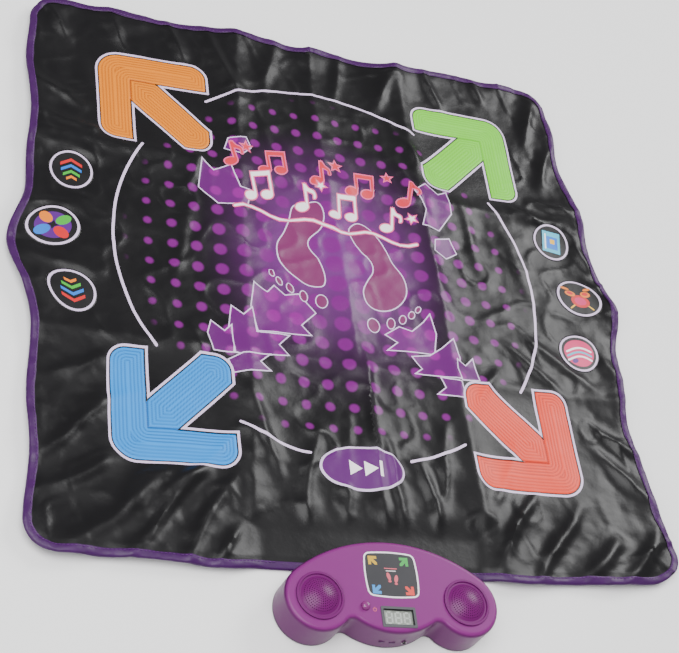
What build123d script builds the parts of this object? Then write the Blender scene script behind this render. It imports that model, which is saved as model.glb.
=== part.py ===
"""Dance rhythm machine: a soft touch mat with eleven touch pads, and a console with two speakers.

Millimetres. +Z is up, the console is at the front (-Y), and the origin is at the centre of the
object's footprint, on the floor.
"""

import math
import os

from build123d import *

os.makedirs("parts", exist_ok=True)

# ---------------------------------------------------------------- driving dimensions
# Mat outline
mat_width = 930.0
mat_length = 935.0
mat_corner_radius = 45.0
console_overhang = 100.0  # how far the console stands out in front of the mat

# Mat layers, from the floor up
cover_thickness = 0.8
film_thickness = 0.3
track_thickness = 0.2
foam_thickness = 2.9
binding_width = 12.0
binding_thickness = 0.8
hem_margin = 1.5  # between the binding's edge and the step down into it
hem_clearance = 0.1

# Touch pads
pad_travel = 1.8
pad_raise = 1.0
pad_flange = 4.0
pad_flange_thickness = 0.9
window_clearance = 0.4
travel_clearance = 0.05
slot_clearance = 0.1

# Printed layout, measured in from the mat's edges
arrow_side_margin = 113.0
arrow_back_margin = 82.5
arrow_front_margin = 136.5
arrow_size = 178.0
arrow_arm = 58.0
arrow_tail_width = 67.0
arrow_border = 5.5
arrow_split = 2.5  # groove between an arrow's head and its tail
arrow_head_radius = 38.0
arrow_end_radius = 28.0
round_pad_radius = 35.0
round_pad_outer_margin = 53.0  # middle pad of each column, to its centre
round_pad_inner_margin = 69.0  # first and last pad of each column
round_pad_pitch = 106.0
round_pad_shift = 3.0  # the columns' middle stands this far behind the arrows' middle
oval_pad_width = 126.0
oval_pad_depth = 68.0
oval_pad_front_margin = 153.5  # to its centre

# Console outline
console_depth = 127.0
lobe_spacing = 203.0
lobe_radius = 46.0
middle_radius = 95.0
middle_setback = 1.0  # the middle bulge stands this far behind the two lobes
notch_radius = 12.0

# Console shells
console_height = 50.0
shell_wall = 2.2
shell_top = 2.5
edge_radius = 6.0
base_lift = 1.2
base_thickness = 3.0
lip_height = 4.0
lip_thickness = 1.6
fit_gap = 0.2
running_clearance = 0.1
mat_slot_gap = 0.6

# Speakers
grille_outer_radius = 32.0
grille_ring_width = 3.6
grille_ring_height = 2.4
dome_radius = 26.5
dome_rise = 9.0
dome_thickness = 1.6
skirt_radius = 23.5
skirt_thickness = 1.6
web_thickness = 0.6
hole_radius = 0.62
hole_pitch = 2.75
hole_rings = 8
speaker_radius = 25.5
speaker_standoff = 4.0
speaker_flange = 1.2
basket_thickness = 1.0
basket_rim = 4.0
basket_height = 12.6
magnet_radius = 13.0
magnet_height = 8.0
cone_thickness = 0.5
cone_clearance = 3.0  # above the basket's floor
dust_cap_rise = 2.6
dust_cap_shoulder = 2.2
terminal_size = (4.0, 8.0, 2.4)
magnet_groove = 0.6
dust_cap_radius = 7.0
speaker_screw_circle = 28.5
speaker_screw_length = 5.0

# Indicator panel and display
panel_width = 75.0
panel_depth = 64.0
panel_bulge = 2.5
panel_corner = 9.0
panel_trim_width = 2.2
panel_thickness = 1.6
panel_y = 79.5  # from the console's front
panel_ledge = 4.5
panel_proud = 0.1
trim_proud = 0.5
lamp_radius = 2.5
lamp_height = 8.0
lamp_rim = 0.4
lamp_rim_height = 1.0
lamp_spread_x = 25.0
lamp_spread_y = 20.0
display_width = 48.0
display_depth = 28.0
display_frame = 3.5
display_flange = 1.5
display_ledge = 1.0
display_proud = 0.8
display_corner = 0.6
display_flange_corner = 1.5
module_gap = 0.6  # below the console's roof
display_x = 2.5
display_y = 22.0
window_thickness = 1.0
digit_width = 9.6
digit_height = 16.5
digit_pitch = 12.2
digit_count = 3
segment_width = 2.3
segment_gap = 0.3
segment_thickness = 0.2

# Buttons and socket
power_button_x = -42.0
power_button_y = 35.0
power_button_radius = 6.0
power_button_height = 5.0
power_button_travel = 1.5
button_flange = 1.0
button_rounding = 4.0
key_spacing = 14.0
key_middle_x = -4.0
key_z = 18.0
key_width = 9.0
key_height = 4.0
key_travel = 1.0
key_proud = 0.8
key_flange = 1.2
socket_x = 20.0
socket_bore_radius = 1.8
socket_nose_radius = 2.6
socket_nut_radius = 3.6
socket_nut_thickness = 1.2
socket_proud = 0.3
socket_end_wall = 1.0
socket_width = 9.0
switch_size = 6.0
switch_height = 3.5
switch_stem_radius = 1.5
switch_stem = 1.5

# Boards
board_z = 36.0
board_thickness = 1.6
main_board_width = 96.0
main_board_depth = 90.0
main_board_y = 20.0  # from the console's front to the board's front edge
board_nose_width = 52.0
board_nose_depth = 9.0
board_screw_inset = 5.0
board_corner = 2.0
board_front_screw = 4.0
board_screw_spare = 6.0  # thread beyond the board
chip_places = [(4.0, 43.0), (0.0, panel_y)]  # Y from the console's front
chip_sizes = [(14.0, 8.0, 2.0), (12.0, 12.0, 1.6)]
capacitor_x = (-24.0, -14.0, 30.0)
capacitor_y = 41.0
capacitor_radius = 2.5
capacitor_height = 7.0
lead_plug_size = (4.0, 8.0, 4.0)
lead_plug_depth = 60.0  # from the console's front
key_board_width = 58.0
key_board_height = 15.0
key_board_thickness = 1.2
key_board_y = 16.0
key_post_width = 6.0
key_post_depth = 5.0

# Batteries
cell_radius = 7.1
cell_length = 50.0
cell_count = 3
cell_gap = 1.0
nub_radius = 2.7
nub_length = 1.2
spring_radius = 3.6
spring_turns = 4
tray_wall = 1.6
cell_clearance = 0.4
tray_end_space = 6.0
tray_y = 43.0
contact_thickness = 0.4
contact_margin = 2.0  # a contact plate is this much smaller than a cell
contact_gap = 0.1
door_margin = 2.0
door_ear = 8.0
door_ear_width = 12.0
door_thickness = 1.8
door_clearance = 0.2
door_screw_length = 8.0
ridge_pitch = 3.0
ridge_count = 6
ridge_width = 1.0
ridge_depth = 0.4
spring_wire = 0.45

# Leads inside the console: shares and steps of their routes
lead_radius = 0.7
speaker_lead_bend = 3.0
speaker_lead_shares = (0.3, 0.65)  # where it turns, of the way to the speaker
speaker_lead_start = 2.0  # above the board
speaker_lead_dip = 1.5
cell_lead_bend = 4.0
cell_lead_y = (6.0, 8.0)  # from the tray's middle line
cell_lead_reach = (5.0, 6.0)  # out from the tray's end wall
cell_lead_rise = (1.0, 14.0)  # above the cells' axes
key_lead_bend = 2.5
key_lead_x = -22.0
key_lead_reach = (5.0, 6.0)  # back from the upright board
key_lead_rise = (5.0, 5.5)  # above the keys' axes
key_lead_drop = 5.0  # straight stretch below the main board

# Fasteners and feet
screw_shank_radius = 1.3
screw_head_radius = 2.8
screw_head_height = 1.2
boss_radius = 3.5
case_screw_length = 14.0
foot_radius = 5.0
foot_recess = 0.6
lobe_boss = 27.0  # case screws, each way from a lobe's centre
rear_boss_x = 62.0
rear_boss_y = 104.0
front_foot_y = 12.0
rear_foot_y = 82.0
head_sink = 0.3  # how far a screw's head stands inside the base's underside

# Conductor tracks
track_width = 1.4
track_pitch = 2.4
column_pitch = 8.0
first_column_x = 122.0
bus_depth = 58.0  # from the mat's front edge to the tracks' cross run
contact_inset = 6.0

# Joint between mat and console
tongue_inner_x = 25.0
tongue_width = 50.0
tongue_thickness = 1.2
tongue_in_mat = 35.0
tongue_bend = 1.0
clamp_depth = 14.0
clamp_height = 3.0
clamp_end = 8.0
clamp_corner = 2.0
clamp_screw_length = 6.0
riser_gap = 4.0
tail_width = 28.0
tail_thickness = 0.3
tail_bend = 0.8
tail_connector_height = 5.0
tail_connector_depth = 6.0
tail_connector_side = 2.0  # beyond the tail, each side
tail_connector_setback = 10.0

# ---------------------------------------------------------------- places worked out from them
overall_depth = mat_length + console_overhang
console_front = -overall_depth / 2
mat_front = console_front + console_overhang
mat_back = overall_depth / 2
mat_middle = (mat_front + mat_back) / 2
print_middle = mat_middle + (arrow_front_margin - arrow_back_margin) / 2
arrow_corner_x = mat_width / 2 - arrow_side_margin
arrow_corner_y = (mat_length - arrow_back_margin - arrow_front_margin) / 2
round_pad_outer_x = mat_width / 2 - round_pad_outer_margin
round_pad_inner_x = mat_width / 2 - round_pad_inner_margin

film_bottom = cover_thickness
film_top = film_bottom + film_thickness
foam_bottom = film_top + track_thickness
foam_top = foam_bottom + foam_thickness
mat_top = foam_top + cover_thickness
hem_low = binding_thickness + cover_thickness
hem_high = mat_top - binding_thickness - cover_thickness
pad_underside = foam_bottom + pad_travel + travel_clearance

base_top = base_lift + base_thickness
slot_top = mat_top + mat_slot_gap
shell_ceiling = console_height - shell_top
board_top = board_z + board_thickness
riser_back = mat_front - riser_gap
riser_front = riser_back - base_thickness
rear_base_bottom = slot_top
rear_base_top = slot_top + base_thickness


def from_front(distance):
    """The Y of a point this far behind the console's front edge."""
    return console_front + distance


lobe_y = from_front(lobe_radius)
lobe_centres = [(-lobe_spacing / 2, lobe_y), (lobe_spacing / 2, lobe_y)]


def export(part, name):
    """Labels a finished piece and writes it as its own STEP file."""
    part.label = name
    export_step(part, f"parts/{name}.step")


def nearest(vertices, point):
    """The vertex nearest to a point (x, y)."""
    return min(vertices, key=lambda v: math.hypot(v.X - point[0], v.Y - point[1]))


# ---------------------------------------------------------------- mat profiles
def mat_profile(inset):
    """The mat's rounded rectangle, set in from its outer edge."""
    with BuildSketch() as profile:
        with Locations((0, mat_middle)):
            RectangleRounded(
                mat_width - 2 * inset, mat_length - 2 * inset, mat_corner_radius - inset
            )
    return profile.sketch


def arrow_point(side_x, side_y, u, v):
    """A point of an arrow, u and v in from its outer corner."""
    return (side_x * (arrow_corner_x - u), print_middle + side_y * (arrow_corner_y - v))


def arrow_profile(side_x, side_y, inset):
    """A corner arrow: an L-shaped head whose corner points outwards, and a diagonal tail."""
    half_tail = arrow_tail_width / 2 * math.sqrt(2)
    near, far = arrow_arm, arrow_size
    corners = [
        (0, 0),
        (far, 0),
        (far, near),
        (near + half_tail, near),
        (far, far - half_tail),
        (far, far),
        (far - half_tail, far),
        (near, near + half_tail),
        (near, far),
        (0, far),
    ]
    points = [arrow_point(side_x, side_y, u, v) for u, v in corners]
    with BuildSketch() as profile:
        with BuildLine():
            Polyline(*points, close=True)
        make_face()
        fillet(nearest(profile.vertices(), points[0]), arrow_head_radius)
        for index in (1, 5, 9):
            fillet(nearest(profile.vertices(), points[index]), arrow_end_radius)
        if inset:
            offset(amount=-inset, kind=Kind.INTERSECTION)
    return profile.sketch


def round_profile(x, y, inset):
    """A round touch pad's disc."""
    with BuildSketch() as profile:
        with Locations((x, y)):
            Circle(round_pad_radius - inset)
    return profile.sketch


def oval_profile(x, y, inset):
    """The start pad's oval."""
    with BuildSketch() as profile:
        with Locations((x, y)):
            Ellipse(oval_pad_width / 2 - inset, oval_pad_depth / 2 - inset)
    return profile.sketch


arrow_sides = {
    "yellow_arrow_pad": (-1, 1),
    "green_arrow_pad": (1, 1),
    "blue_arrow_pad": (-1, -1),
    "red_arrow_pad": (1, -1),
}
round_pads = {}
for side, side_name in ((-1, "left"), (1, "right")):
    for row, row_name in ((1, "back"), (0, "middle"), (-1, "front")):
        pad_x = side * (round_pad_outer_x if row == 0 else round_pad_inner_x)
        round_pads[f"{side_name}_{row_name}_round_pad"] = (
            pad_x,
            print_middle + round_pad_shift + row * round_pad_pitch,
        )
start_pad = (0.0, mat_front + oval_pad_front_margin)


def pad_profiles(name, inset):
    """The profile of any touch pad, set in from its raised edge."""
    if name in arrow_sides:
        return arrow_profile(*arrow_sides[name], arrow_border + inset)
    if name in round_pads:
        return round_profile(*round_pads[name], inset)
    return oval_profile(*start_pad, inset)


pad_names = [*arrow_sides, *round_pads, "start_pad"]

# ---------------------------------------------------------------- mat covers, binding and core
step_inset = binding_width + hem_margin

with BuildPart() as top_cover:
    with BuildSketch(Plane.XY.offset(foam_top)):
        add(mat_profile(binding_width + hem_clearance))
    extrude(amount=cover_thickness)
    with BuildSketch(Plane.XY.offset(hem_high)):
        add(mat_profile(binding_thickness))
        add(mat_profile(step_inset), mode=Mode.SUBTRACT)
    extrude(amount=cover_thickness)
    for pad_name in pad_names:
        with BuildSketch(Plane.XY.offset(foam_top)):
            add(pad_profiles(pad_name, -window_clearance))
        extrude(amount=cover_thickness, mode=Mode.SUBTRACT)
export(top_cover.part, "top_cover")

with BuildPart() as bottom_cover:
    with BuildSketch():
        add(mat_profile(binding_width + hem_clearance))
    extrude(amount=cover_thickness)
    with BuildSketch(Plane.XY.offset(binding_thickness)):
        add(mat_profile(binding_thickness))
        add(mat_profile(step_inset), mode=Mode.SUBTRACT)
    extrude(amount=cover_thickness)
export(bottom_cover.part, "bottom_cover")

tongue_z = (hem_low + hem_high - tongue_thickness) / 2
tongue_centres = [
    side * (tongue_inner_x + tongue_width / 2) for side in (-1, 1)
]


def tongue_slots(depth):
    """Boxes that let both tongues and the cable tail through the mat's front hem."""
    height = tongue_thickness + 2 * slot_clearance
    places = [(x, tongue_width + 2 * slot_clearance) for x in tongue_centres]
    places.append((0.0, tail_width + 2 * slot_clearance))
    with BuildPart() as slots:
        for x, width in places:
            with Locations((x, mat_front, tongue_z - slot_clearance)):
                Box(width, 2 * depth, height, align=(Align.CENTER, Align.CENTER, Align.MIN))
    return slots.part


binding_slots = tongue_slots(binding_thickness + slot_clearance)
foam_slots = tongue_slots(tongue_in_mat)

with BuildPart() as edge_binding:
    with BuildSketch():
        add(mat_profile(0))
    extrude(amount=mat_top)
    with BuildSketch():
        add(mat_profile(binding_width))
    extrude(amount=mat_top, mode=Mode.SUBTRACT)
    with BuildSketch(Plane.XY.offset(binding_thickness)):
        add(mat_profile(binding_thickness))
    extrude(amount=mat_top - 2 * binding_thickness, mode=Mode.SUBTRACT)
    add(binding_slots, mode=Mode.SUBTRACT)
export(edge_binding.part, "edge_binding")

with BuildPart() as lower_film:
    with BuildSketch(Plane.XY.offset(film_bottom)):
        add(mat_profile(step_inset))
    extrude(amount=film_thickness)
export(lower_film.part, "lower_film")

with BuildPart() as foam_spacer:
    with BuildSketch(Plane.XY.offset(foam_bottom)):
        add(mat_profile(step_inset))
    extrude(amount=foam_thickness)
    with BuildSketch(Plane.XY.offset(hem_low)):
        add(mat_profile(binding_thickness))
    extrude(amount=hem_high - hem_low)
    for pad_name in pad_names:
        with BuildSketch(Plane.XY.offset(foam_bottom)):
            add(pad_profiles(pad_name, -(pad_flange + window_clearance)))
        extrude(amount=foam_thickness, mode=Mode.SUBTRACT)
    add(foam_slots, mode=Mode.SUBTRACT)
export(foam_spacer.part, "foam_spacer")

# ---------------------------------------------------------------- contacts and conductor tracks
bus_y = mat_front + bus_depth
tail_start_y = mat_front + tongue_in_mat


def run(x0, y0, x1, y1):
    """One straight stretch of track between two points that share an X or a Y."""
    with Locations(((x0 + x1) / 2, (y0 + y1) / 2)):
        Rectangle(abs(x1 - x0) + track_width, abs(y1 - y0) + track_width)


def track_order(side):
    """The pads on one side, from the back of the mat to its front, and where each track leaves."""
    side_name = "left" if side < 0 else "right"
    arrows = [n for n, (side_x, side_y) in arrow_sides.items() if side_x == side]
    rows = [f"{side_name}_{row}_round_pad" for row in ("back", "middle", "front")]
    order = [arrows[0], *rows, arrows[1]]
    leave_x = arrow_corner_x - arrow_arm
    return [
        (
            name,
            round_pads[name] if name in round_pads else arrow_leave(name, leave_x),
        )
        for name in order
    ]


def arrow_leave(name, leave_x):
    """A point on an arrow's tail, on its middle line, from which its track runs inwards."""
    side_x, side_y = arrow_sides[name]
    middle_of_tail = (arrow_arm + arrow_size) / 2
    return (side_x * leave_x, print_middle + side_y * (arrow_corner_y - middle_of_tail))


with BuildPart() as contact_tracks:
    with BuildSketch(Plane.XY.offset(film_top)):
        for pad_name in pad_names:
            add(pad_profiles(pad_name, contact_inset))
        run(*start_pad, start_pad[0], tail_start_y)
        for side in (-1, 1):
            for index, (pad_name, (x, y)) in enumerate(track_order(side)):
                column = side * (first_column_x + index * column_pitch)
                turn = bus_y - index * track_pitch
                end = side * (index + 1) * track_pitch
                if pad_name in arrow_sides:
                    x = side * (arrow_corner_x - arrow_size / 2)
                run(x, y, column, y)
                run(column, y, column, turn)
                run(column, turn, end, turn)
                run(end, turn, end, tail_start_y)
    extrude(amount=track_thickness)
export(contact_tracks.part, "contact_tracks")

# ---------------------------------------------------------------- touch pads

def split_groove(side_x, side_y):
    """The groove between an arrow's head and its tail."""
    low = arrow_arm - arrow_border
    long = arrow_size - low
    middle = low + arrow_split / 2
    with BuildSketch(Plane.XY.offset(mat_top)) as groove:
        for u, v, width, depth in (
            (middle, low + long / 2, arrow_split, long),
            (low + long / 2, middle, long, arrow_split),
        ):
            with Locations(arrow_point(side_x, side_y, u, v)):
                Rectangle(width, depth)
    return groove.sketch


for pad_name in pad_names:
    with BuildPart() as pad:
        with BuildSketch(Plane.XY.offset(pad_underside)):
            add(pad_profiles(pad_name, -pad_flange))
        extrude(amount=pad_flange_thickness)
        with BuildSketch(Plane.XY.offset(pad_underside)):
            add(pad_profiles(pad_name, 0))
        extrude(amount=mat_top + pad_raise - pad_underside)
        if pad_name in arrow_sides:
            add(split_groove(*arrow_sides[pad_name]))
            extrude(amount=pad_raise, mode=Mode.SUBTRACT)
    export(pad.part, pad_name)

# ---------------------------------------------------------------- tongues and cable tail
tongue_middle = tongue_z + tongue_thickness / 2
step_y = mat_front - riser_gap / 2
clamp_front = riser_front - clamp_end / 4 - clamp_depth


def strip(points, thickness, bend, width, x):
    """A flat strip of constant thickness that follows bends in the YZ plane, centred on x."""
    with BuildPart() as band:
        with BuildSketch(Plane.YZ.offset(x - width / 2)):
            with BuildLine():
                FilletPolyline(*points, radius=bend)
            trace(line_width=thickness)
        extrude(amount=width)
    return band.part


tongue_on_base = base_top + tongue_thickness / 2
tongue_path = [
    (mat_front + tongue_in_mat - slot_clearance, tongue_middle),
    (step_y, tongue_middle),
    (step_y, tongue_on_base),
    (clamp_front, tongue_on_base),
]
with BuildPart() as mat_tongues:
    for x in tongue_centres:
        add(strip(tongue_path, tongue_thickness, tongue_bend, tongue_width, x))
export(mat_tongues.part, "mat_tongues")

tail_y = riser_front - tail_connector_setback
tail_path = [
    (mat_front + tongue_in_mat - slot_clearance, tongue_middle),
    (step_y, tongue_middle),
    (step_y, tongue_on_base),
    (tail_y, tongue_on_base),
    (tail_y, board_z - tail_connector_height),
]
with BuildPart() as cable_tail:
    add(strip(tail_path, tail_thickness, tail_bend, tail_width, 0.0))
export(cable_tail.part, "cable_tail")

# ---------------------------------------------------------------- console outline
back_reach = console_depth - lobe_radius
half_spacing = lobe_spacing / 2
back_radius = (half_spacing**2 + back_reach**2 - lobe_radius**2) / (
    2 * (back_reach - lobe_radius)
)
back_centre_y = from_front(console_depth) - back_radius
middle_centre_y = from_front(middle_setback + middle_radius)


def console_profile(inset=0.0):
    """The console's outline: two round lobes, a long arc behind and a bulge between them."""
    scale = (back_radius - inset) / (back_radius - lobe_radius)
    tangent_x = half_spacing * scale
    tangent_y = back_centre_y + (lobe_y - back_centre_y) * scale
    back_point = (0, from_front(console_depth - inset))
    with BuildSketch() as profile:
        with Locations((0, middle_centre_y)):
            Circle(middle_radius - inset)
        with Locations((0, lobe_y - middle_radius)):
            Rectangle(lobe_spacing, 2 * middle_radius, mode=Mode.INTERSECT)
        with Locations(*lobe_centres):
            Circle(lobe_radius - inset)
        with BuildLine():
            ThreePointArc((-tangent_x, tangent_y), back_point, (tangent_x, tangent_y))
            Polyline((tangent_x, tangent_y), *reversed(lobe_centres), (-tangent_x, tangent_y))
        make_face()
        notches = profile.vertices().filter_by(lambda v: v.Y < lobe_y).sort_by(
            lambda v: abs(abs(v.X) - half_spacing / 2)
        )
        fillet(notches[0:2], notch_radius + inset)
    return profile.sketch


def console_band(inset, front, back):
    """The part of the console's outline that lies between two lines across it."""
    with BuildSketch() as profile:
        add(console_profile(inset))
        with Locations((0, (front + back) / 2)):
            Rectangle(2 * lobe_spacing, back - front, mode=Mode.INTERSECT)
    return profile.sketch


def console_block(inset, bottom, top, rounding=0.0):
    """A block of the console's outline between two heights, rounded along its top edge."""
    with BuildPart() as block:
        with BuildSketch(Plane.XY.offset(bottom)):
            add(console_profile(inset))
        extrude(amount=top - bottom)
        if rounding:
            fillet(block.faces().sort_by(Axis.Z)[-1].edges(), rounding)
    return block.part


def pins(points, radius, bottom, top):
    """Upright cylinders on a list of points."""
    with BuildPart() as cylinders:
        with BuildSketch(Plane.XY.offset(bottom)):
            with Locations(*points):
                Circle(radius)
        extrude(amount=top - bottom)
    return cylinders.part


# ---------------------------------------------------------------- where things are fastened
front_bosses = [
    (side * (half_spacing + lobe_boss), lobe_y + end * lobe_boss)
    for side in (-1, 1)
    for end in (-1, 1)
]
rear_bosses = [(side * rear_boss_x, from_front(rear_boss_y)) for side in (-1, 1)]
board_corners = [
    (side * (main_board_width / 2 - board_screw_inset), from_front(main_board_y + end))
    for side in (-1, 1)
    for end in (board_front_screw, main_board_depth - board_screw_inset)
]
foot_places = [
    (side * half_spacing, from_front(distance))
    for side in (-1, 1)
    for distance in (front_foot_y, rear_foot_y)
]
speaker_screws_at = [
    (
        centre[0] + speaker_screw_circle * math.cos(math.radians(angle)),
        centre[1] + speaker_screw_circle * math.sin(math.radians(angle)),
    )
    for centre in lobe_centres
    for angle in (90, 210, 330)
]
clamp_half = tongue_width / 2 + clamp_end / 2
clamp_screws_at = [
    (x + end * clamp_half, clamp_front + clamp_depth / 2)
    for x in tongue_centres
    for end in (-1, 1)
]
speaker_top = shell_ceiling - speaker_standoff


def screws(points, head_bottom, length, upwards=True):
    """Pan-head screws with a cross recess; they point up, or down when upwards is false."""
    head_top = head_bottom + screw_head_height
    with BuildPart() as group:
        add(pins(points, screw_head_radius, head_bottom, head_top))
        outer = head_bottom if upwards else head_top
        fillet(group.edges().filter_by(GeomType.CIRCLE).filter_by_position(
            Axis.Z, outer - 0.01, outer + 0.01), screw_head_height / 3)
        recess = outer if upwards else outer - screw_head_height / 2
        with BuildSketch(Plane.XY.offset(recess)):
            with Locations(*points):
                Rectangle(screw_head_radius, screw_head_radius / 5)
                Rectangle(screw_head_radius / 5, screw_head_radius)
        extrude(amount=screw_head_height / 2, mode=Mode.SUBTRACT)
        shank = head_top if upwards else head_bottom - length
        add(pins(points, screw_shank_radius, shank, shank + length))
    return group.part


# ---------------------------------------------------------------- battery tray and door
tray_length = cell_length + 2 * tray_end_space
cell_pitch = 2 * cell_radius + cell_gap
tray_depth = cell_count * cell_pitch + 2 * cell_clearance
cell_z = base_lift + door_thickness + cell_clearance + cell_radius
tray_top = cell_z + cell_radius + cell_clearance
tray_centre = (0, from_front(tray_y))
door_length = tray_length + 2 * door_margin
door_depth = tray_depth + 2 * door_margin
door_screw_x = door_length / 2 + door_ear / 2
door_screws_at = [(side * door_screw_x, from_front(tray_y)) for side in (-1, 1)]


def door_profile(gap):
    """The battery door's outline, with an ear for a screw at each end."""
    with BuildSketch() as profile:
        with Locations(tray_centre):
            Rectangle(door_length + 2 * gap, door_depth + 2 * gap)
            Rectangle(door_length + 2 * door_ear + 2 * gap, door_ear_width + 2 * gap)
    return profile.sketch


# ---------------------------------------------------------------- console base
lip_inset = shell_wall + fit_gap
lip_top = rear_base_top + lip_height
front_line = from_front(-1.0)
back_line = from_front(console_depth + 1.0)
key_board_bottom = key_z - key_board_height / 2
key_post_x = key_board_width / 2
key_board_back = from_front(key_board_y) + key_board_thickness
tray_outer = (tray_length + 2 * tray_wall, tray_depth + 2 * tray_wall)
clamp_post_height = tongue_thickness

with BuildPart() as console_base:
    # plate on the floor side, riser in front of the mat, and raised plate over the mat
    with BuildSketch(Plane.XY.offset(base_lift)):
        add(console_band(0, front_line, riser_back))
    extrude(amount=base_thickness)
    with BuildSketch(Plane.XY.offset(base_lift)):
        add(console_band(0, riser_front, riser_back))
    extrude(amount=rear_base_top - base_lift)
    with BuildSketch(Plane.XY.offset(rear_base_bottom)):
        add(console_band(0, riser_front, back_line))
    extrude(amount=base_thickness)
    # lip inside the shell's wall
    with BuildSketch(Plane.XY.offset(base_top)):
        add(console_band(lip_inset, front_line, riser_back))
        add(console_profile(lip_inset + lip_thickness), mode=Mode.SUBTRACT)
    extrude(amount=lip_top - base_top)
    with BuildSketch(Plane.XY.offset(rear_base_top)):
        add(console_band(lip_inset, riser_front, back_line))
        add(console_profile(lip_inset + lip_thickness), mode=Mode.SUBTRACT)
    extrude(amount=lip_height)
    # battery tray, open below
    with BuildSketch(Plane.XY.offset(base_top)):
        with Locations(tray_centre):
            Rectangle(*tray_outer)
    extrude(amount=tray_top + tray_wall - base_top)
    with BuildSketch(Plane.XY.offset(base_lift)):
        with Locations(tray_centre):
            Rectangle(tray_length, tray_depth)
    extrude(amount=tray_top - base_lift, mode=Mode.SUBTRACT)
    with BuildSketch(Plane.XY.offset(base_lift)):
        add(door_profile(door_clearance))
    extrude(amount=door_thickness, mode=Mode.SUBTRACT)
    with BuildSketch(Plane.XY.offset(base_top)):
        with Locations(*door_screws_at):
            Circle(boss_radius)
        with Locations(tray_centre):
            Rectangle(*tray_outer, mode=Mode.SUBTRACT)
    extrude(amount=door_screw_length - door_thickness)
    with BuildSketch(Plane.XY.offset(base_lift)):
        with Locations(*door_screws_at):
            Circle(screw_shank_radius + running_clearance)
    extrude(amount=door_screw_length + door_thickness, mode=Mode.SUBTRACT)
    # slotted posts for the upright board
    with BuildSketch(Plane.XY.offset(base_top)):
        with Locations(*[(side * key_post_x, key_board_back) for side in (-1, 1)]):
            Rectangle(key_post_width, key_post_depth)
    extrude(amount=key_z - base_top)
    with Locations((0, key_board_back, key_board_bottom)):
        Box(
            key_board_width + 2 * running_clearance,
            key_board_thickness + 2 * running_clearance,
            key_board_height,
            align=(Align.CENTER, Align.MAX, Align.MIN),
            mode=Mode.SUBTRACT,
        )
    # posts and slots for the mat's tongues and the cable tail
    with BuildSketch(Plane.XY.offset(base_top)):
        with Locations(*clamp_screws_at):
            Circle(boss_radius)
    extrude(amount=clamp_post_height)
    with BuildSketch(Plane.XY.offset(base_top)):
        for x in tongue_centres:
            with Locations((x, riser_back)):
                Rectangle(tongue_width + 2 * slot_clearance, 4 * base_thickness)
        with Locations((0, riser_back)):
            Rectangle(tail_width + 2 * slot_clearance, 4 * base_thickness)
    extrude(amount=tongue_thickness + slot_clearance, mode=Mode.SUBTRACT)
    # holes for the screws and seats for the feet
    with BuildSketch(Plane.XY.offset(base_top + clamp_post_height)):
        with Locations(*clamp_screws_at):
            Circle(screw_shank_radius + running_clearance)
    extrude(amount=clamp_height - clamp_screw_length, mode=Mode.SUBTRACT)
    for points, plate_bottom in ((front_bosses, base_lift), (rear_bosses, rear_base_bottom)):
        with BuildSketch(Plane.XY.offset(plate_bottom)):
            with Locations(*points):
                Circle(screw_head_radius + fit_gap)
        extrude(amount=head_sink + screw_head_height, mode=Mode.SUBTRACT)
        with BuildSketch(Plane.XY.offset(plate_bottom)):
            with Locations(*points):
                Circle(screw_shank_radius + fit_gap)
        extrude(amount=base_thickness, mode=Mode.SUBTRACT)
    with BuildSketch(Plane.XY.offset(base_lift)):
        with Locations(*foot_places):
            Circle(foot_radius)
    extrude(amount=foot_recess, mode=Mode.SUBTRACT)
export(console_base.part, "console_base")

with BuildPart() as rubber_feet:
    with BuildSketch():
        with Locations(*foot_places):
            Circle(foot_radius)
    extrude(amount=base_lift + foot_recess)
    fillet(rubber_feet.faces().group_by(Axis.Z)[0].edges(), base_lift / 2)
export(rubber_feet.part, "rubber_feet")

# ---------------------------------------------------------------- console shell
def panel_profile(inset=0.0):
    """The indicator panel's outline: four bulging sides with rounded corners."""
    half_width = panel_width / 2
    half_depth = panel_depth / 2
    flank_radius = ((half_depth - panel_bulge) ** 2 + panel_bulge**2) / (2 * panel_bulge)
    end_radius = ((half_width - panel_bulge) ** 2 + panel_bulge**2) / (2 * panel_bulge)
    centre_y = from_front(panel_y)
    with BuildSketch() as profile:
        with Locations((0, centre_y)):
            Rectangle(2 * panel_width, 2 * panel_depth)
        for side in (-1, 1):
            with Locations((side * (half_width - flank_radius), centre_y)):
                Circle(flank_radius - inset, mode=Mode.INTERSECT)
            with Locations((0, centre_y + side * (half_depth - end_radius))):
                Circle(end_radius - inset, mode=Mode.INTERSECT)
        fillet(profile.vertices(), panel_corner - inset)
    return profile.sketch


def display_profile(inset=0.0, corner=2.0):
    """The display's rectangle, set in from its bezel's outer edge."""
    with BuildSketch() as profile:
        with Locations((display_x, from_front(display_y))):
            RectangleRounded(display_width - 2 * inset, display_depth - 2 * inset, corner)
    return profile.sketch


power_button_at = (power_button_x, from_front(power_button_y))
keys_at = {
    "left_key": key_middle_x - key_spacing / 2,
    "right_key": key_middle_x + key_spacing / 2,
}


def front_wall_y(x, depth_in=0.0):
    """The Y of the middle bulge's wall at this X, a given depth into the wall."""
    return middle_centre_y - math.sqrt((middle_radius - depth_in) ** 2 - x**2)


cavity = console_block(shell_wall, base_top, shell_ceiling, edge_radius - shell_wall)

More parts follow.
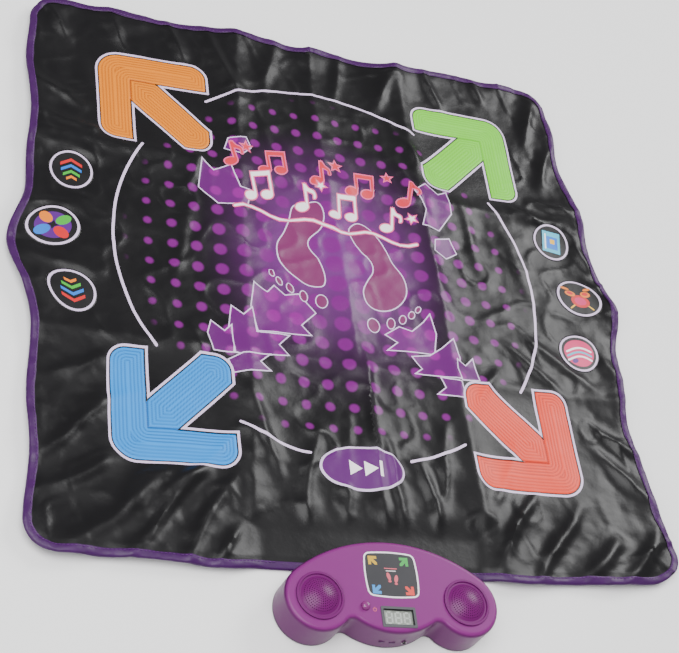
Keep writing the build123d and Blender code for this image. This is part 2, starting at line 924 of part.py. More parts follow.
with BuildPart() as console_shell:
    add(console_block(0, base_top, console_height, edge_radius))
    add(cavity, mode=Mode.SUBTRACT)
    with BuildSketch(Plane.XY.offset(base_top)):
        add(console_band(-1.0, riser_front, back_line + 1.0))
    extrude(amount=base_thickness + slot_top - base_top, mode=Mode.SUBTRACT)
    # screw bosses down to the base
    for points, boss_bottom in ((front_bosses, base_top), (rear_bosses, rear_base_top)):
        add(pins(points, boss_radius, boss_bottom, shell_ceiling))
        add(
            pins(
                points,
                screw_shank_radius + running_clearance,
                boss_bottom,
                boss_bottom + case_screw_length,
            ),
            mode=Mode.SUBTRACT,
        )
    # bosses for the main board
    add(pins(board_corners, boss_radius, board_top, shell_ceiling))
    add(
        pins(board_corners, screw_shank_radius + running_clearance, board_top, shell_ceiling),
        mode=Mode.SUBTRACT,
    )
    # seats for the speakers and openings for their grilles
    add(pins(speaker_screws_at, boss_radius, speaker_top, shell_ceiling))
    add(pins(lobe_centres, speaker_radius, speaker_top, shell_ceiling))
    add(
        pins(lobe_centres, skirt_radius + fit_gap, speaker_top, console_height),
        mode=Mode.SUBTRACT,
    )
    add(
        pins(
            speaker_screws_at, screw_shank_radius + running_clearance, speaker_top, shell_ceiling
        ),
        mode=Mode.SUBTRACT,
    )
    # seat for the indicator panel
    with BuildSketch(Plane.XY.offset(shell_ceiling - panel_thickness)):
        add(panel_profile(-fit_gap - shell_wall / 2))
    extrude(amount=panel_thickness)
    with BuildSketch(Plane.XY.offset(console_height - panel_thickness)):
        add(panel_profile(-fit_gap))
    extrude(amount=panel_thickness, mode=Mode.SUBTRACT)
    with BuildSketch(Plane.XY.offset(shell_ceiling - panel_thickness)):
        add(panel_profile(panel_ledge))
    extrude(amount=shell_top + panel_thickness, mode=Mode.SUBTRACT)
    # openings for the display and the power button
    with BuildSketch(Plane.XY.offset(shell_ceiling)):
        add(display_profile(display_flange - fit_gap))
        with Locations(power_button_at):
            Circle(power_button_radius + running_clearance)
    extrude(amount=shell_top, mode=Mode.SUBTRACT)
    # openings in the front wall
    with BuildSketch(Plane.XZ.offset(-front_line)):
        for x in keys_at.values():
            with Locations((x, key_z)):
                SlotOverall(key_width + 2 * running_clearance, key_height + 2 * running_clearance)
        with Locations((socket_x, key_z)):
            Circle(socket_nose_radius + running_clearance)
    extrude(amount=-4 * shell_wall, mode=Mode.SUBTRACT)
export(console_shell.part, "console_shell")

# ---------------------------------------------------------------- speakers
def ring_holes():
    """The centres of a grille's holes: one in the middle and rings around it."""
    centres = [(0.0, 0.0)]
    for ring in range(1, hole_rings + 1):
        for index in range(6 * ring):
            angle = 2 * math.pi * (index + ring / 2) / (6 * ring)
            centres.append(
                (ring * hole_pitch * math.cos(angle), ring * hole_pitch * math.sin(angle))
            )
    return centres


# a sphere that rises dome_rise over a circle of dome_radius
sphere_radius = (dome_radius**2 + dome_rise**2) / (2 * dome_rise)
dome_centre_z = console_height + dome_rise - sphere_radius
dome_inner_edge = math.sqrt(
    (sphere_radius - dome_thickness) ** 2 - (console_height - dome_centre_z) ** 2
)
ring_inner = grille_outer_radius - grille_ring_width
web_middle_radius = (dome_inner_edge + grille_outer_radius) / 2
web_middle_z = console_height + web_thickness / 2


def on_dome(radius, share):
    """A point of the dome's arc, a share of the way from its rim to its crown."""
    rim = math.acos((console_height - dome_centre_z) / radius)
    angle = rim * (1 - share)
    return (radius * math.sin(angle), dome_centre_z + radius * math.cos(angle))


for (lobe_x, _), side_name in zip(lobe_centres, ("left", "right")):
    axis_plane = Plane(origin=(lobe_x, lobe_y, 0), x_dir=(1, 0, 0), z_dir=(0, -1, 0))
    with BuildPart() as grille:
        with BuildSketch(axis_plane):
            with BuildLine():
                ThreePointArc(
                    on_dome(sphere_radius, 0), on_dome(sphere_radius, 0.5), on_dome(sphere_radius, 1)
                )
                Line(
                    on_dome(sphere_radius, 1), on_dome(sphere_radius - dome_thickness, 1)
                )
                ThreePointArc(
                    on_dome(sphere_radius - dome_thickness, 1),
                    on_dome(sphere_radius - dome_thickness, 0.5),
                    on_dome(sphere_radius - dome_thickness, 0),
                )
                Line(on_dome(sphere_radius - dome_thickness, 0), on_dome(sphere_radius, 0))
            make_face()
            # flat web, raised ring and the skirt that drops into the shell
            with Locations((web_middle_radius, web_middle_z)):
                Rectangle(grille_outer_radius - dome_inner_edge, web_thickness)
            with Locations((ring_inner + grille_ring_width / 2, console_height)):
                Rectangle(
                    grille_ring_width, grille_ring_height, align=(Align.CENTER, Align.MIN)
                )
        revolve(axis=Axis((lobe_x, lobe_y, 0), (0, 0, 1)))
        fillet(
            grille.edges()
            .filter_by(GeomType.CIRCLE)
            .filter_by(lambda e: abs(e.center().Z - console_height - grille_ring_height) < 0.01),
            grille_ring_width / 4,
        )
        add(
            pins([(lobe_x, lobe_y)], skirt_radius, shell_ceiling, console_height + web_thickness),
        )
        with BuildSketch(Plane.XY.offset(shell_ceiling)):
            with Locations((lobe_x, lobe_y)):
                Circle(skirt_radius - skirt_thickness)
        extrude(amount=shell_top, mode=Mode.SUBTRACT)
        with BuildSketch(Plane.XY.offset(shell_ceiling)):
            with Locations((lobe_x, lobe_y)):
                with Locations(*ring_holes()):
                    Circle(hole_radius)
        extrude(amount=shell_top + dome_rise + 1.0, mode=Mode.SUBTRACT)
    export(grille.part, f"{side_name}_grille")


def revolved(centre, points):
    """A closed profile in radius and height, turned about an upright axis."""
    plane = Plane(origin=(centre[0], centre[1], 0), x_dir=(0, -1, 0), z_dir=(-1, 0, 0))
    with BuildPart() as turned:
        with BuildSketch(plane):
            with BuildLine():
                Polyline(*points, close=True)
            make_face()
        revolve(axis=Axis((centre[0], centre[1], 0), (0, 0, 1)))
    return turned.part


basket_bottom = speaker_top - basket_height
basket_inner = speaker_radius - 2.0
cone_edge = basket_inner
cone_neck = dust_cap_radius - 1.0
cone_top = speaker_top - speaker_flange / 2
cone_bottom = basket_bottom + cone_clearance
terminal_inner = speaker_radius + 1.0
for centre, side, side_name in zip(lobe_centres, (-1, 1), ("left", "right")):
    own_screws = [point for point in speaker_screws_at if point[0] * side > 0]
    with BuildPart() as frame:
        add(
            revolved(
                centre,
                [
                    (basket_inner, speaker_top),
                    (speaker_radius, speaker_top),
                    (speaker_radius, speaker_top - speaker_flange),
                    (basket_inner + basket_thickness, speaker_top - speaker_flange),
                    (basket_inner + basket_thickness, speaker_top - basket_rim),
                    (magnet_radius, basket_bottom),
                    (cone_neck, basket_bottom),
                    (cone_neck, basket_bottom + basket_thickness),
                    (magnet_radius - basket_thickness / 2, basket_bottom + basket_thickness),
                    (basket_inner, speaker_top - basket_rim),
                ],
            )
        )
        with BuildSketch(Plane.XY.offset(speaker_top - speaker_flange)):
            for point in own_screws:
                angle = math.degrees(math.atan2(point[1] - centre[1], point[0] - centre[0]))
                with Locations(Location((*centre, 0), (0, 0, angle))):
                    with Locations((speaker_screw_circle - boss_radius, 0)):
                        Rectangle(boss_radius * 2, boss_radius * 2)
            with Locations(*own_screws):
                Circle(boss_radius)
            with Locations(centre):
                Circle(speaker_radius - 0.5, mode=Mode.SUBTRACT)
            with Locations(*own_screws):
                Circle(screw_shank_radius + fit_gap, mode=Mode.SUBTRACT)
        extrude(amount=speaker_flange)
        with Locations((centre[0] - side * terminal_inner, centre[1], speaker_top - speaker_flange)):
            Box(*terminal_size, align=(Align.CENTER, Align.CENTER, Align.MAX))
    export(frame.part, f"{side_name}_speaker_frame")

    cone = revolved(
        centre,
        [
            (cone_edge, cone_top),
            (cone_edge, cone_top - cone_thickness),
            (cone_neck, cone_bottom),
            (0, cone_bottom),
            (0, cone_bottom + dust_cap_rise),
            (dust_cap_radius / 2, cone_bottom + dust_cap_shoulder),
            (cone_neck, cone_bottom + 2 * cone_thickness),
        ],
    )
    export(cone, f"{side_name}_speaker_cone")

    with BuildPart() as magnet:
        add(pins([centre], magnet_radius, basket_bottom - magnet_height, basket_bottom))
        groove_bottom = basket_bottom - (magnet_height + magnet_groove) / 2
        with BuildSketch(Plane.XY.offset(groove_bottom)):
            with Locations(centre):
                Circle(magnet_radius)
                Circle(magnet_radius - magnet_groove, mode=Mode.SUBTRACT)
        extrude(amount=magnet_groove, mode=Mode.SUBTRACT)
    export(magnet.part, f"{side_name}_speaker_magnet")

speaker_screws = screws(
    speaker_screws_at, speaker_top - speaker_flange - screw_head_height, speaker_screw_length
)
export(speaker_screws, "speaker_screws")

# ---------------------------------------------------------------- indicator panel
panel_bottom = console_height - panel_thickness
with BuildPart() as panel_trim:
    with BuildSketch(Plane.XY.offset(panel_bottom)):
        add(panel_profile())
        add(panel_profile(panel_trim_width), mode=Mode.SUBTRACT)
    extrude(amount=panel_thickness + trim_proud)
    fillet(panel_trim.faces().sort_by(Axis.Z)[-1].edges(), trim_proud / 2)
export(panel_trim.part, "panel_trim")

with BuildPart() as indicator_panel:
    with BuildSketch(Plane.XY.offset(panel_bottom)):
        add(panel_profile(panel_trim_width + hem_clearance))
    extrude(amount=panel_thickness + panel_proud)
export(indicator_panel.part, "indicator_panel")

lamps_at = [
    (x * lamp_spread_x, from_front(panel_y) + y * lamp_spread_y)
    for x in (-1, 1)
    for y in (-1, 1)
]
with BuildPart() as indicator_lamps:
    add(pins(lamps_at, lamp_radius, board_top, board_top + lamp_height - lamp_radius))
    add(pins(lamps_at, lamp_radius + lamp_rim, board_top, board_top + lamp_rim_height))
    with Locations(*[(*point, board_top + lamp_height - lamp_radius) for point in lamps_at]):
        Sphere(lamp_radius)
export(indicator_lamps.part, "indicator_lamps")

# ---------------------------------------------------------------- display
module_top = shell_ceiling - module_gap
with BuildPart() as display_bezel:
    with BuildSketch(Plane.XY.offset(console_height)):
        add(display_profile())
    extrude(amount=display_proud)
    fillet(display_bezel.faces().sort_by(Axis.Z)[-1].edges(), display_proud / 2)
    with BuildSketch(Plane.XY.offset(shell_ceiling)):
        add(display_profile(display_flange, display_flange_corner))
    extrude(amount=shell_top)
    with BuildSketch(Plane.XY.offset(shell_ceiling)):
        add(display_profile(display_frame + display_ledge, display_corner))
    extrude(amount=shell_top + display_proud, mode=Mode.SUBTRACT)
    with BuildSketch(Plane.XY.offset(console_height - window_thickness)):
        add(display_profile(display_frame, display_corner))
    extrude(amount=shell_top + display_proud, mode=Mode.SUBTRACT)
export(display_bezel.part, "display_bezel")

with BuildPart() as display_window:
    with BuildSketch(Plane.XY.offset(console_height - window_thickness)):
        add(display_profile(display_frame + hem_clearance, display_corner))
    extrude(amount=window_thickness)
export(display_window.part, "display_window")

with BuildPart() as display_module:
    with BuildSketch(Plane.XY.offset(board_top)):
        add(display_profile(display_flange + shell_wall, display_corner))
    extrude(amount=module_top - board_top)
export(display_module.part, "display_module")

stroke = (digit_height - segment_width) / 2
with BuildPart() as display_digits:
    with BuildSketch(Plane.XY.offset(module_top)):
        for index in range(digit_count):
            digit_x = display_x + (index - (digit_count - 1) / 2) * digit_pitch
            for level in (-1, 0, 1):
                with Locations((digit_x, from_front(display_y) + level * stroke)):
                    Rectangle(digit_width - 2 * segment_width - 2 * segment_gap, segment_width)
            for level in (-0.5, 0.5):
                for end in (-1, 1):
                    x = digit_x + end * (digit_width - segment_width) / 2
                    with Locations((x, from_front(display_y) + level * stroke)):
                        Rectangle(segment_width, stroke - 2 * segment_gap)
    extrude(amount=segment_thickness)
export(display_digits.part, "display_digits")

# ---------------------------------------------------------------- power button and its switch
flange_top = shell_ceiling - travel_clearance
switch_top = board_top + switch_height + switch_stem
with BuildPart() as power_button:
    add(pins([power_button_at], power_button_radius, flange_top, console_height + power_button_height))
    fillet(power_button.faces().sort_by(Axis.Z)[-1].edges(), button_rounding)
    add(
        pins(
            [power_button_at],
            power_button_radius + button_flange,
            flange_top - button_flange,
            flange_top,
        )
    )
    add(
        pins(
            [power_button_at],
            switch_stem_radius,
            switch_top + power_button_travel + travel_clearance,
            flange_top - button_flange,
        )
    )
export(power_button.part, "power_button")

with BuildPart() as power_switch:
    with Locations((*power_button_at, board_top)):
        Box(switch_size, switch_size, switch_height, align=(Align.CENTER, Align.CENTER, Align.MIN))
    add(pins([power_button_at], switch_stem_radius, board_top + switch_height, switch_top))
export(power_switch.part, "power_switch")

# ---------------------------------------------------------------- front keys, socket and their board
key_board_front = from_front(key_board_y)
key_switch_front = key_board_front - switch_height - switch_stem
key_back = key_switch_front - key_travel - travel_clearance
deepest_x = max(abs(x) for x in keys_at.values()) + key_width / 2 + key_flange
flange_front = front_wall_y(deepest_x, shell_wall) + travel_clearance


def slot_bar(x, width, height, front, back):
    """A bar with rounded ends, standing upright on the XZ plane between two Y values."""
    with BuildPart() as bar:
        with BuildSketch(Plane.XZ.offset(-front)):
            with Locations((x, key_z)):
                SlotOverall(width, height)
        extrude(amount=front - back)
    return bar.part


for key_name, x in keys_at.items():
    front = front_wall_y(x) - key_proud
    with BuildPart() as key:
        add(slot_bar(x, key_width, key_height, front, flange_front))
        fillet(key.faces().sort_by(Axis.Y)[0].edges(), key_proud / 2)
        add(
            slot_bar(
                x,
                key_width + 2 * key_flange,
                key_height + 2 * key_flange,
                flange_front,
                flange_front + key_flange,
            )
        )
        with BuildSketch(Plane.XZ.offset(-flange_front)):
            with Locations((x, key_z)):
                Circle(switch_stem_radius)
        extrude(amount=flange_front - key_back)
    export(key.part, key_name)

with BuildPart() as key_switches:
    for x in keys_at.values():
        with Locations((x, key_board_front, key_z)):
            Box(
                switch_size,
                switch_height,
                switch_size,
                align=(Align.CENTER, Align.MAX, Align.CENTER),
            )
        with BuildSketch(Plane.XZ.offset(-key_switch_front)):
            with Locations((x, key_z)):
                Circle(switch_stem_radius)
        extrude(amount=-switch_stem)
export(key_switches.part, "key_switches")

with BuildPart() as key_board:
    with Locations((0, key_board_front, key_board_bottom)):
        Box(
            key_board_width,
            key_board_thickness,
            key_board_height,
            align=(Align.CENTER, Align.MIN, Align.MIN),
        )
export(key_board.part, "key_board")

nut_back = front_wall_y(socket_x - socket_nut_radius) - travel_clearance
nut_front = nut_back - socket_nut_thickness
socket_front = nut_front - socket_proud
socket_shoulder = front_wall_y(socket_x + socket_width / 2, shell_wall)
with BuildPart() as headphone_socket:
    with Locations((socket_x, key_board_front, key_z)):
        Box(
            socket_width,
            key_board_front - socket_shoulder,
            socket_width,
            align=(Align.CENTER, Align.MAX, Align.CENTER),
        )
    with BuildSketch(Plane.XZ.offset(-socket_front)):
        with Locations((socket_x, key_z)):
            Circle(socket_nose_radius)
    extrude(amount=socket_front - socket_shoulder)
    with BuildSketch(Plane.XZ.offset(-socket_front)):
        with Locations((socket_x, key_z)):
            Circle(socket_bore_radius)
    extrude(amount=-(key_board_front - socket_front - socket_end_wall), mode=Mode.SUBTRACT)
export(headphone_socket.part, "headphone_socket")

with BuildPart() as socket_nut:
    with BuildSketch(Plane.XZ.offset(-nut_front)):
        with Locations((socket_x, key_z)):
            RegularPolygon(socket_nut_radius, 6)
            Circle(socket_nose_radius + travel_clearance, mode=Mode.SUBTRACT)
    extrude(amount=-socket_nut_thickness)
export(socket_nut.part, "socket_nut")

# ---------------------------------------------------------------- main board and what it carries
board_middle_y = from_front(main_board_y + main_board_depth / 2)
screw_slot = screw_shank_radius + fit_gap
with BuildPart() as main_board:
    with Locations((0, board_middle_y, board_z)):
        Box(
            main_board_width,
            main_board_depth,
            board_thickness,
            align=(Align.CENTER, Align.CENTER, Align.MIN),
        )
    fillet(main_board.edges().filter_by(Axis.Z), board_corner)
    # narrower nose under the display
    with Locations((0, from_front(main_board_y) + 1.0, board_z)):
        Box(
            board_nose_width,
            board_nose_depth + 1.0,
            board_thickness,
            align=(Align.CENTER, Align.MAX, Align.MIN),
        )
    with BuildSketch(Plane.XY.offset(board_z)):
        with Locations(*board_corners):
            Circle(screw_slot)
    extrude(amount=board_thickness, mode=Mode.SUBTRACT)
export(main_board.part, "main_board")

board_screws = screws(board_corners, board_z - screw_head_height, board_thickness + board_screw_spare)
export(board_screws, "board_screws")

lead_plug_x = main_board_width / 2 - lead_plug_size[0] / 2
lead_plug_y = from_front(lead_plug_depth)
capacitors_at = [(x, from_front(capacitor_y)) for x in capacitor_x]
with BuildPart() as board_parts:
    # sound chip, amplifier chip, two lead plugs and three capacitors
    for (chip_x, chip_y), chip_size in zip(chip_places, chip_sizes):
        with Locations((chip_x, from_front(chip_y), board_top)):
            Box(*chip_size, align=(Align.CENTER, Align.CENTER, Align.MIN))
    with Locations(*[(side * lead_plug_x, lead_plug_y, board_top) for side in (-1, 1)]):
        Box(*lead_plug_size, align=(Align.CENTER, Align.CENTER, Align.MIN))
    add(pins(capacitors_at, capacitor_radius, board_top, board_top + capacitor_height))
export(board_parts.part, "board_parts")

with BuildPart() as tail_connector:
    with Locations((0, tail_y, board_z)):
        Box(
            tail_width + 2 * tail_connector_side,
            tail_connector_depth,
            tail_connector_height,
            align=(Align.CENTER, Align.CENTER, Align.MAX),
        )
export(tail_connector.part, "tail_connector")

# ---------------------------------------------------------------- batteries
cells_at = [
    (from_front(tray_y) + (index - (cell_count - 1) / 2) * cell_pitch, (-1) ** index)
    for index in range(cell_count)
]
with BuildPart() as battery_cells:
    for cell_y, facing in cells_at:
        with BuildSketch(Plane.YZ.offset(-facing * cell_length / 2)):
            with Locations((cell_y, cell_z)):
                Circle(cell_radius)
        extrude(amount=facing * (cell_length - nub_length))
        with BuildSketch(Plane.YZ.offset(facing * (cell_length / 2 - nub_length))):
            with Locations((cell_y, cell_z)):
                Circle(nub_radius)
        extrude(amount=facing * nub_length)
export(battery_cells.part, "battery_cells")

contact_height = 2 * cell_radius - contact_margin
nub_reach = tray_end_space - contact_gap
with BuildPart() as battery_contacts:
    for cell_y, facing in cells_at:
        # flat plate behind the spring, and a plate with a raised dimple at the nub
        for end in (-1, 1):
            wall_x = end * tray_length / 2
            with Locations((wall_x, cell_y, cell_z)):
                Box(
                    contact_thickness,
                    contact_height,
                    contact_height,
                    align=(Align.MIN if end < 0 else Align.MAX, Align.CENTER, Align.CENTER),
                )
        with BuildSketch(Plane.YZ.offset(facing * tray_length / 2)):
            with Locations((cell_y, cell_z)):
                Circle(nub_radius)
        extrude(amount=-facing * nub_reach)
export(battery_contacts.part, "battery_contacts")

spring_length = tray_end_space - contact_thickness - spring_wire - 2 * contact_gap
with BuildPart() as battery_springs:
    for cell_y, facing in cells_at:
        start_x = -facing * (cell_length / 2 + contact_gap + spring_wire / 2)
        with BuildLine() as coil:
            Helix(
                pitch=spring_length / spring_turns,
                height=spring_length,
                radius=spring_radius,
                center=(start_x, cell_y, cell_z),
                direction=(-facing, 0, 0),
            )
        with BuildSketch(Plane(origin=coil.line @ 0, z_dir=coil.line % 0)):
            Circle(spring_wire / 2)
        sweep(path=coil.line)
export(battery_springs.part, "battery_springs")

with BuildPart() as battery_door:
    with BuildSketch(Plane.XY.offset(base_lift)):
        add(door_profile(0))
        with Locations(*door_screws_at):
            Circle(screw_shank_radius + running_clearance, mode=Mode.SUBTRACT)
    extrude(amount=door_thickness)
    with BuildSketch(Plane.XY.offset(base_lift)):
        with Locations(*door_screws_at):
            Circle(screw_head_radius + running_clearance)
    extrude(amount=door_thickness / 2, mode=Mode.SUBTRACT)
    # finger ridges
    with BuildSketch(Plane.XY.offset(base_lift)):
        with GridLocations(ridge_pitch, 0, ridge_count, 1):
            with Locations(tray_centre):
                Rectangle(ridge_width, door_depth / 2)
    extrude(amount=ridge_depth, mode=Mode.SUBTRACT)
export(battery_door.part, "battery_door")

door_head = base_lift + door_thickness / 2 - screw_head_height
door_screws = screws(door_screws_at, door_head, door_screw_length)
export(door_screws, "door_screws")

# ---------------------------------------------------------------- clamps and case screws
clamp_bottom = base_top + tongue_thickness
with BuildPart() as clamp_bars:
    with BuildSketch(Plane.XY.offset(clamp_bottom)):
        for x in tongue_centres:
            with Locations((x, clamp_front + clamp_depth / 2)):
                RectangleRounded(tongue_width + 2 * clamp_end, clamp_depth, clamp_corner)
        with Locations(*clamp_screws_at):
            Circle(screw_slot, mode=Mode.SUBTRACT)
    extrude(amount=clamp_height)
export(clamp_bars.part, "clamp_bars")

clamp_screws = screws(
    clamp_screws_at, clamp_bottom + clamp_height, clamp_screw_length, upwards=False
)
export(clamp_screws, "clamp_screws")

with BuildPart() as case_screws:
    for points, plate_bottom in ((front_bosses, base_lift), (rear_bosses, rear_base_bottom)):
        add(screws(points, plate_bottom + head_sink, case_screw_length))
export(case_screws.part, "case_screws")

# ---------------------------------------------------------------- leads inside the console

def lead(points, bend):
    """A round lead along straight runs and tangent arcs."""
    with BuildLine() as route:
        FilletPolyline(*points, radius=bend)
    with BuildPart() as wire:
        with BuildSketch(Plane(origin=route.line @ 0, z_dir=route.line % 0)):
            Circle(lead_radius)
        sweep(path=route.line)
    return wire.part


tray_side_x = tray_outer[0] / 2
lead_near_y, lead_far_y = (from_front(tray_y + reach) for reach in cell_lead_y)
with BuildPart() as internal_leads:
    for side in (-1, 1):
        plug_face = side * (lead_plug_x + lead_plug_size[0] / 2)
        terminal_face = side * (half_spacing - terminal_inner - terminal_size[0] / 2)
        terminal_z = speaker_top - speaker_flange - terminal_size[2] / 2
        span = terminal_face - plug_face
        first, second = speaker_lead_shares
        add(
            lead(
                [
                    (plug_face, lead_plug_y, board_top + speaker_lead_start),
                    (plug_face + first * span, lead_plug_y, board_top + speaker_lead_dip),
                    (plug_face + second * span, lobe_y, terminal_z - speaker_lead_dip),
                    (terminal_face, lobe_y, terminal_z),
                ],
                speaker_lead_bend,
            )
        )
    add(
        lead(
            [
                (-tray_side_x, lead_near_y, cell_z),
                (-tray_side_x - cell_lead_reach[0], lead_near_y, cell_z + cell_lead_rise[0]),
                (-tray_side_x - cell_lead_reach[1], lead_far_y, cell_z + cell_lead_rise[1]),
                (-tray_side_x - cell_lead_reach[0], lead_far_y, board_z),
            ],
            cell_lead_bend,
        )
    )
    add(
        lead(
            [
                (key_lead_x, key_board_back, key_z + key_lead_rise[0]),
                (key_lead_x, key_board_back + key_lead_reach[0], key_z + key_lead_rise[1]),
                (key_lead_x, key_board_back + key_lead_reach[1], board_z - key_lead_drop),
                (key_lead_x, key_board_back + key_lead_reach[1], board_z),
            ],
            key_lead_bend,
        )
    )
export(internal_leads.part, "internal_leads")
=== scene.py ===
import math

import bmesh
import bpy
import numpy as np
from mathutils import Matrix, Vector, kdtree
from mathutils.geometry import delaunay_2d_cdt


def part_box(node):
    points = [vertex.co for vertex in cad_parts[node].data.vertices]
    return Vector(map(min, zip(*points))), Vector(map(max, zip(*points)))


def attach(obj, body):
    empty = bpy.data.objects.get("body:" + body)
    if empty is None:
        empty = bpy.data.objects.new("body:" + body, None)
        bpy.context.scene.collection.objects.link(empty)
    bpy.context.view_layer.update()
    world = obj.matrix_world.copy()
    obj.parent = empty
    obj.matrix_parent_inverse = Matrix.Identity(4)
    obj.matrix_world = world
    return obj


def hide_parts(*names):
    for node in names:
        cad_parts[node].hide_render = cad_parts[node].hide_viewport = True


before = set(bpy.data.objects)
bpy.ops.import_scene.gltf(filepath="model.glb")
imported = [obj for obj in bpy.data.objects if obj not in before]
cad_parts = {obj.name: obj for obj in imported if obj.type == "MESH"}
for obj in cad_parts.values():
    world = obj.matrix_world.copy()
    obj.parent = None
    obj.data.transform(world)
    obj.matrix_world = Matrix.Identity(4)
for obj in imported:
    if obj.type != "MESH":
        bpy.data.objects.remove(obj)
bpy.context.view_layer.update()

# Plan shapes are in millimetres in the CAD frame; meshes are made in metres.
MM = 0.001
BODY = "dance_machine"


def box_of(node):
    """A CAD node's lowest and highest corners, in millimetres."""
    return [np.array(corner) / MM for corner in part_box(node)]


mat_low, mat_high = box_of("edge_binding")
mat_half = (mat_high[:2] - mat_low[:2]) / 2
mat_centre = (mat_high[:2] + mat_low[:2]) / 2
mat_top = mat_high[2]
shell_top = box_of("console_shell")[1][2]
corner_radius = 45.0
cover_thickness = 0.8
pad_raise = 1.0

arrow_pads = {
    "yellow_arrow_pad": (-1, 1),
    "green_arrow_pad": (1, 1),
    "blue_arrow_pad": (-1, -1),
    "red_arrow_pad": (1, -1),
}
round_pads = [
    f"{side}_{row}_round_pad" for side in ("left", "right") for row in ("back", "middle", "front")
]


def centre_of(node):
    """The middle of a CAD node's box in plan, in millimetres."""
    low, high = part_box(node)
    return np.array([(low[0] + high[0]) / 2, (low[1] + high[1]) / 2]) / MM


# ------------------------------------------------------------------ how the soft mat lies
def bump(value, middle, width):
    """A smooth hump of height one."""
    return np.exp(-(((value - middle) / width) ** 2))


def ramp(value, start, end):
    """Rises smoothly from 0 at start to 1 at end."""
    t = np.clip((value - start) / (end - start), 0, 1)
    return t * t * (3 - 2 * t)


def to_segment(x, y, ax, ay, bx, by):
    """Distance from points to a segment, and how far along it the nearest point is, 0 to 1."""
    dx, dy = bx - ax, by - ay
    t = np.clip(((x - ax) * dx + (y - ay) * dy) / (dx * dx + dy * dy), 0, 1)
    return np.hypot(x - ax - t * dx, y - ay - t * dy), t


# Wrinkles, listed one by one: start, end, height and half-width, from the mat's middle.
WRINKLES = [
    # front left, fanning out of the corner and the first fold
    (-452, -330, -330, -232, 7, 13), (-455, -385, -300, -300, 6, 12), (-400, -455, -262, -330, 9, 15),
    (-330, -462, -205, -300, 8, 12), (-262, -465, -190, -345, 7, 10), (-380, -250, -250, -205, 5, 12),
    (-300, -395, -180, -270, 6, 9), (-430, -215, -330, -170, 5, 13), (-215, -462, -178, -405, 6, 9),
    # front middle, running up from the console
    (-95, -410, -60, -250, 6, 12), (-30, -400, -12, -230, 5, 9), (52, -405, 40, -265, 6, 10),
    (105, -410, 92, -300, 7, 12), (-120, -330, -150, -210, 5, 10), (120, -350, 140, -230, 5, 10),
    (18, -330, 30, -120, 6, 6),
    # front right
    (182, -450, 262, -330, 8, 11), (240, -462, 330, -345, 8, 13), (318, -460, 380, -395, 9, 12),
    (380, -462, 455, -380, 10, 16), (455, -330, 385, -250, 7, 13), (200, -350, 250, -255, 6, 10),
    (262, -72, 350, -162, 5, 10), (300, -60, 420, -150, 5, 12), (190, -210, 245, -130, 6, 10),
    (395, -215, 458, -250, 6, 11),
    # left side
    (-455, 235, -330, 208, 6, 14), (-460, 190, -350, 165, 5, 13), (-455, -20, -340, -45, 5, 18),
    (-462, 60, -380, 70, 7, 20), (-455, 300, -380, 262, 6, 13), (-410, 110, -330, 60, 4, 14),
    # back edge and corners
    (-440, 452, -400, 395, 8, 13), (-330, 462, -312, 400, 6, 11), (-235, 464, -215, 392, 7, 12),
    (-175, 464, -130, 330, 8, 14), (-60, 462, -78, 352, 6, 13), (60, 462, 38, 365, 6, 12),
    (150, 464, 118, 372, 9, 13), (205, 462, 232, 388, 8, 11), (300, 464, 322, 412, 7, 12),
    (432, 440, 400, 340, 9, 16), (455, 330, 405, 250, 8, 15), (462, 200, 375, 215, 7, 13),
    (440, 150, 330, 190, 6, 12), (150, 300, 195, 215, 7, 12), (130, 250, 168, 150, 5, 9),
    # right side
    (462, 75, 430, 150, 7, 14), (468, -20, 440, 60, 8, 15), (460, -120, 400, -40, 6, 15),
    (330, 20, 300, 150, 4, 16), (250, 60, 235, 180, 4, 12), (-230, 120, -190, 240, 4, 11),
    (-250, -30, -215, 110, 4, 14), (-205, -190, -230, -110, 4, 10),
]


FOLD_CUSP = 4.0  # radius that rounds a fold's back


def fold(distance, height, width):
    """A sharp-backed ridge left by storage folding."""
    return height * np.exp(-(np.hypot(distance, FOLD_CUSP) - FOLD_CUSP) / width)


def cloth_noise(x, y, wave, seed):
    """Smooth seeded noise between -1 and 1 whose bumps are about a wave apart, in millimetres."""
    size = 256
    table = np.random.default_rng(seed).uniform(-1, 1, (size, size))
    u, v = x / wave + 1000.3, y / wave + 1000.7
    i, j = np.floor(u).astype(int), np.floor(v).astype(int)
    fu, fv = u - i, v - j
    fu, fv = fu * fu * (3 - 2 * fu), fv * fv * (3 - 2 * fv)
    i, j, k, m = i % size, j % size, (i + 1) % size, (j + 1) % size
    low = table[i, j] * (1 - fu) + table[k, j] * fu
    high = table[i, m] * (1 - fu) + table[k, m] * fu
    return low * (1 - fv) + high * fv


def arrow_mask(x, y):
    """One on the stiff pads, zero away from them."""
    mask = np.zeros_like(x)
    for node in arrow_pads:
        cx, cy = centre_of(node) - mat_centre
        reach = np.maximum(np.abs(x - cx), np.abs(y - cy))
        mask = np.maximum(mask, 1 - ramp(reach, 78, 104))
    for node in round_pads + ["start_pad"]:
        cx, cy = centre_of(node) - mat_centre
        mask = np.maximum(mask, 1 - ramp(np.hypot(x - cx, y - cy), 30, 48))
    return mask


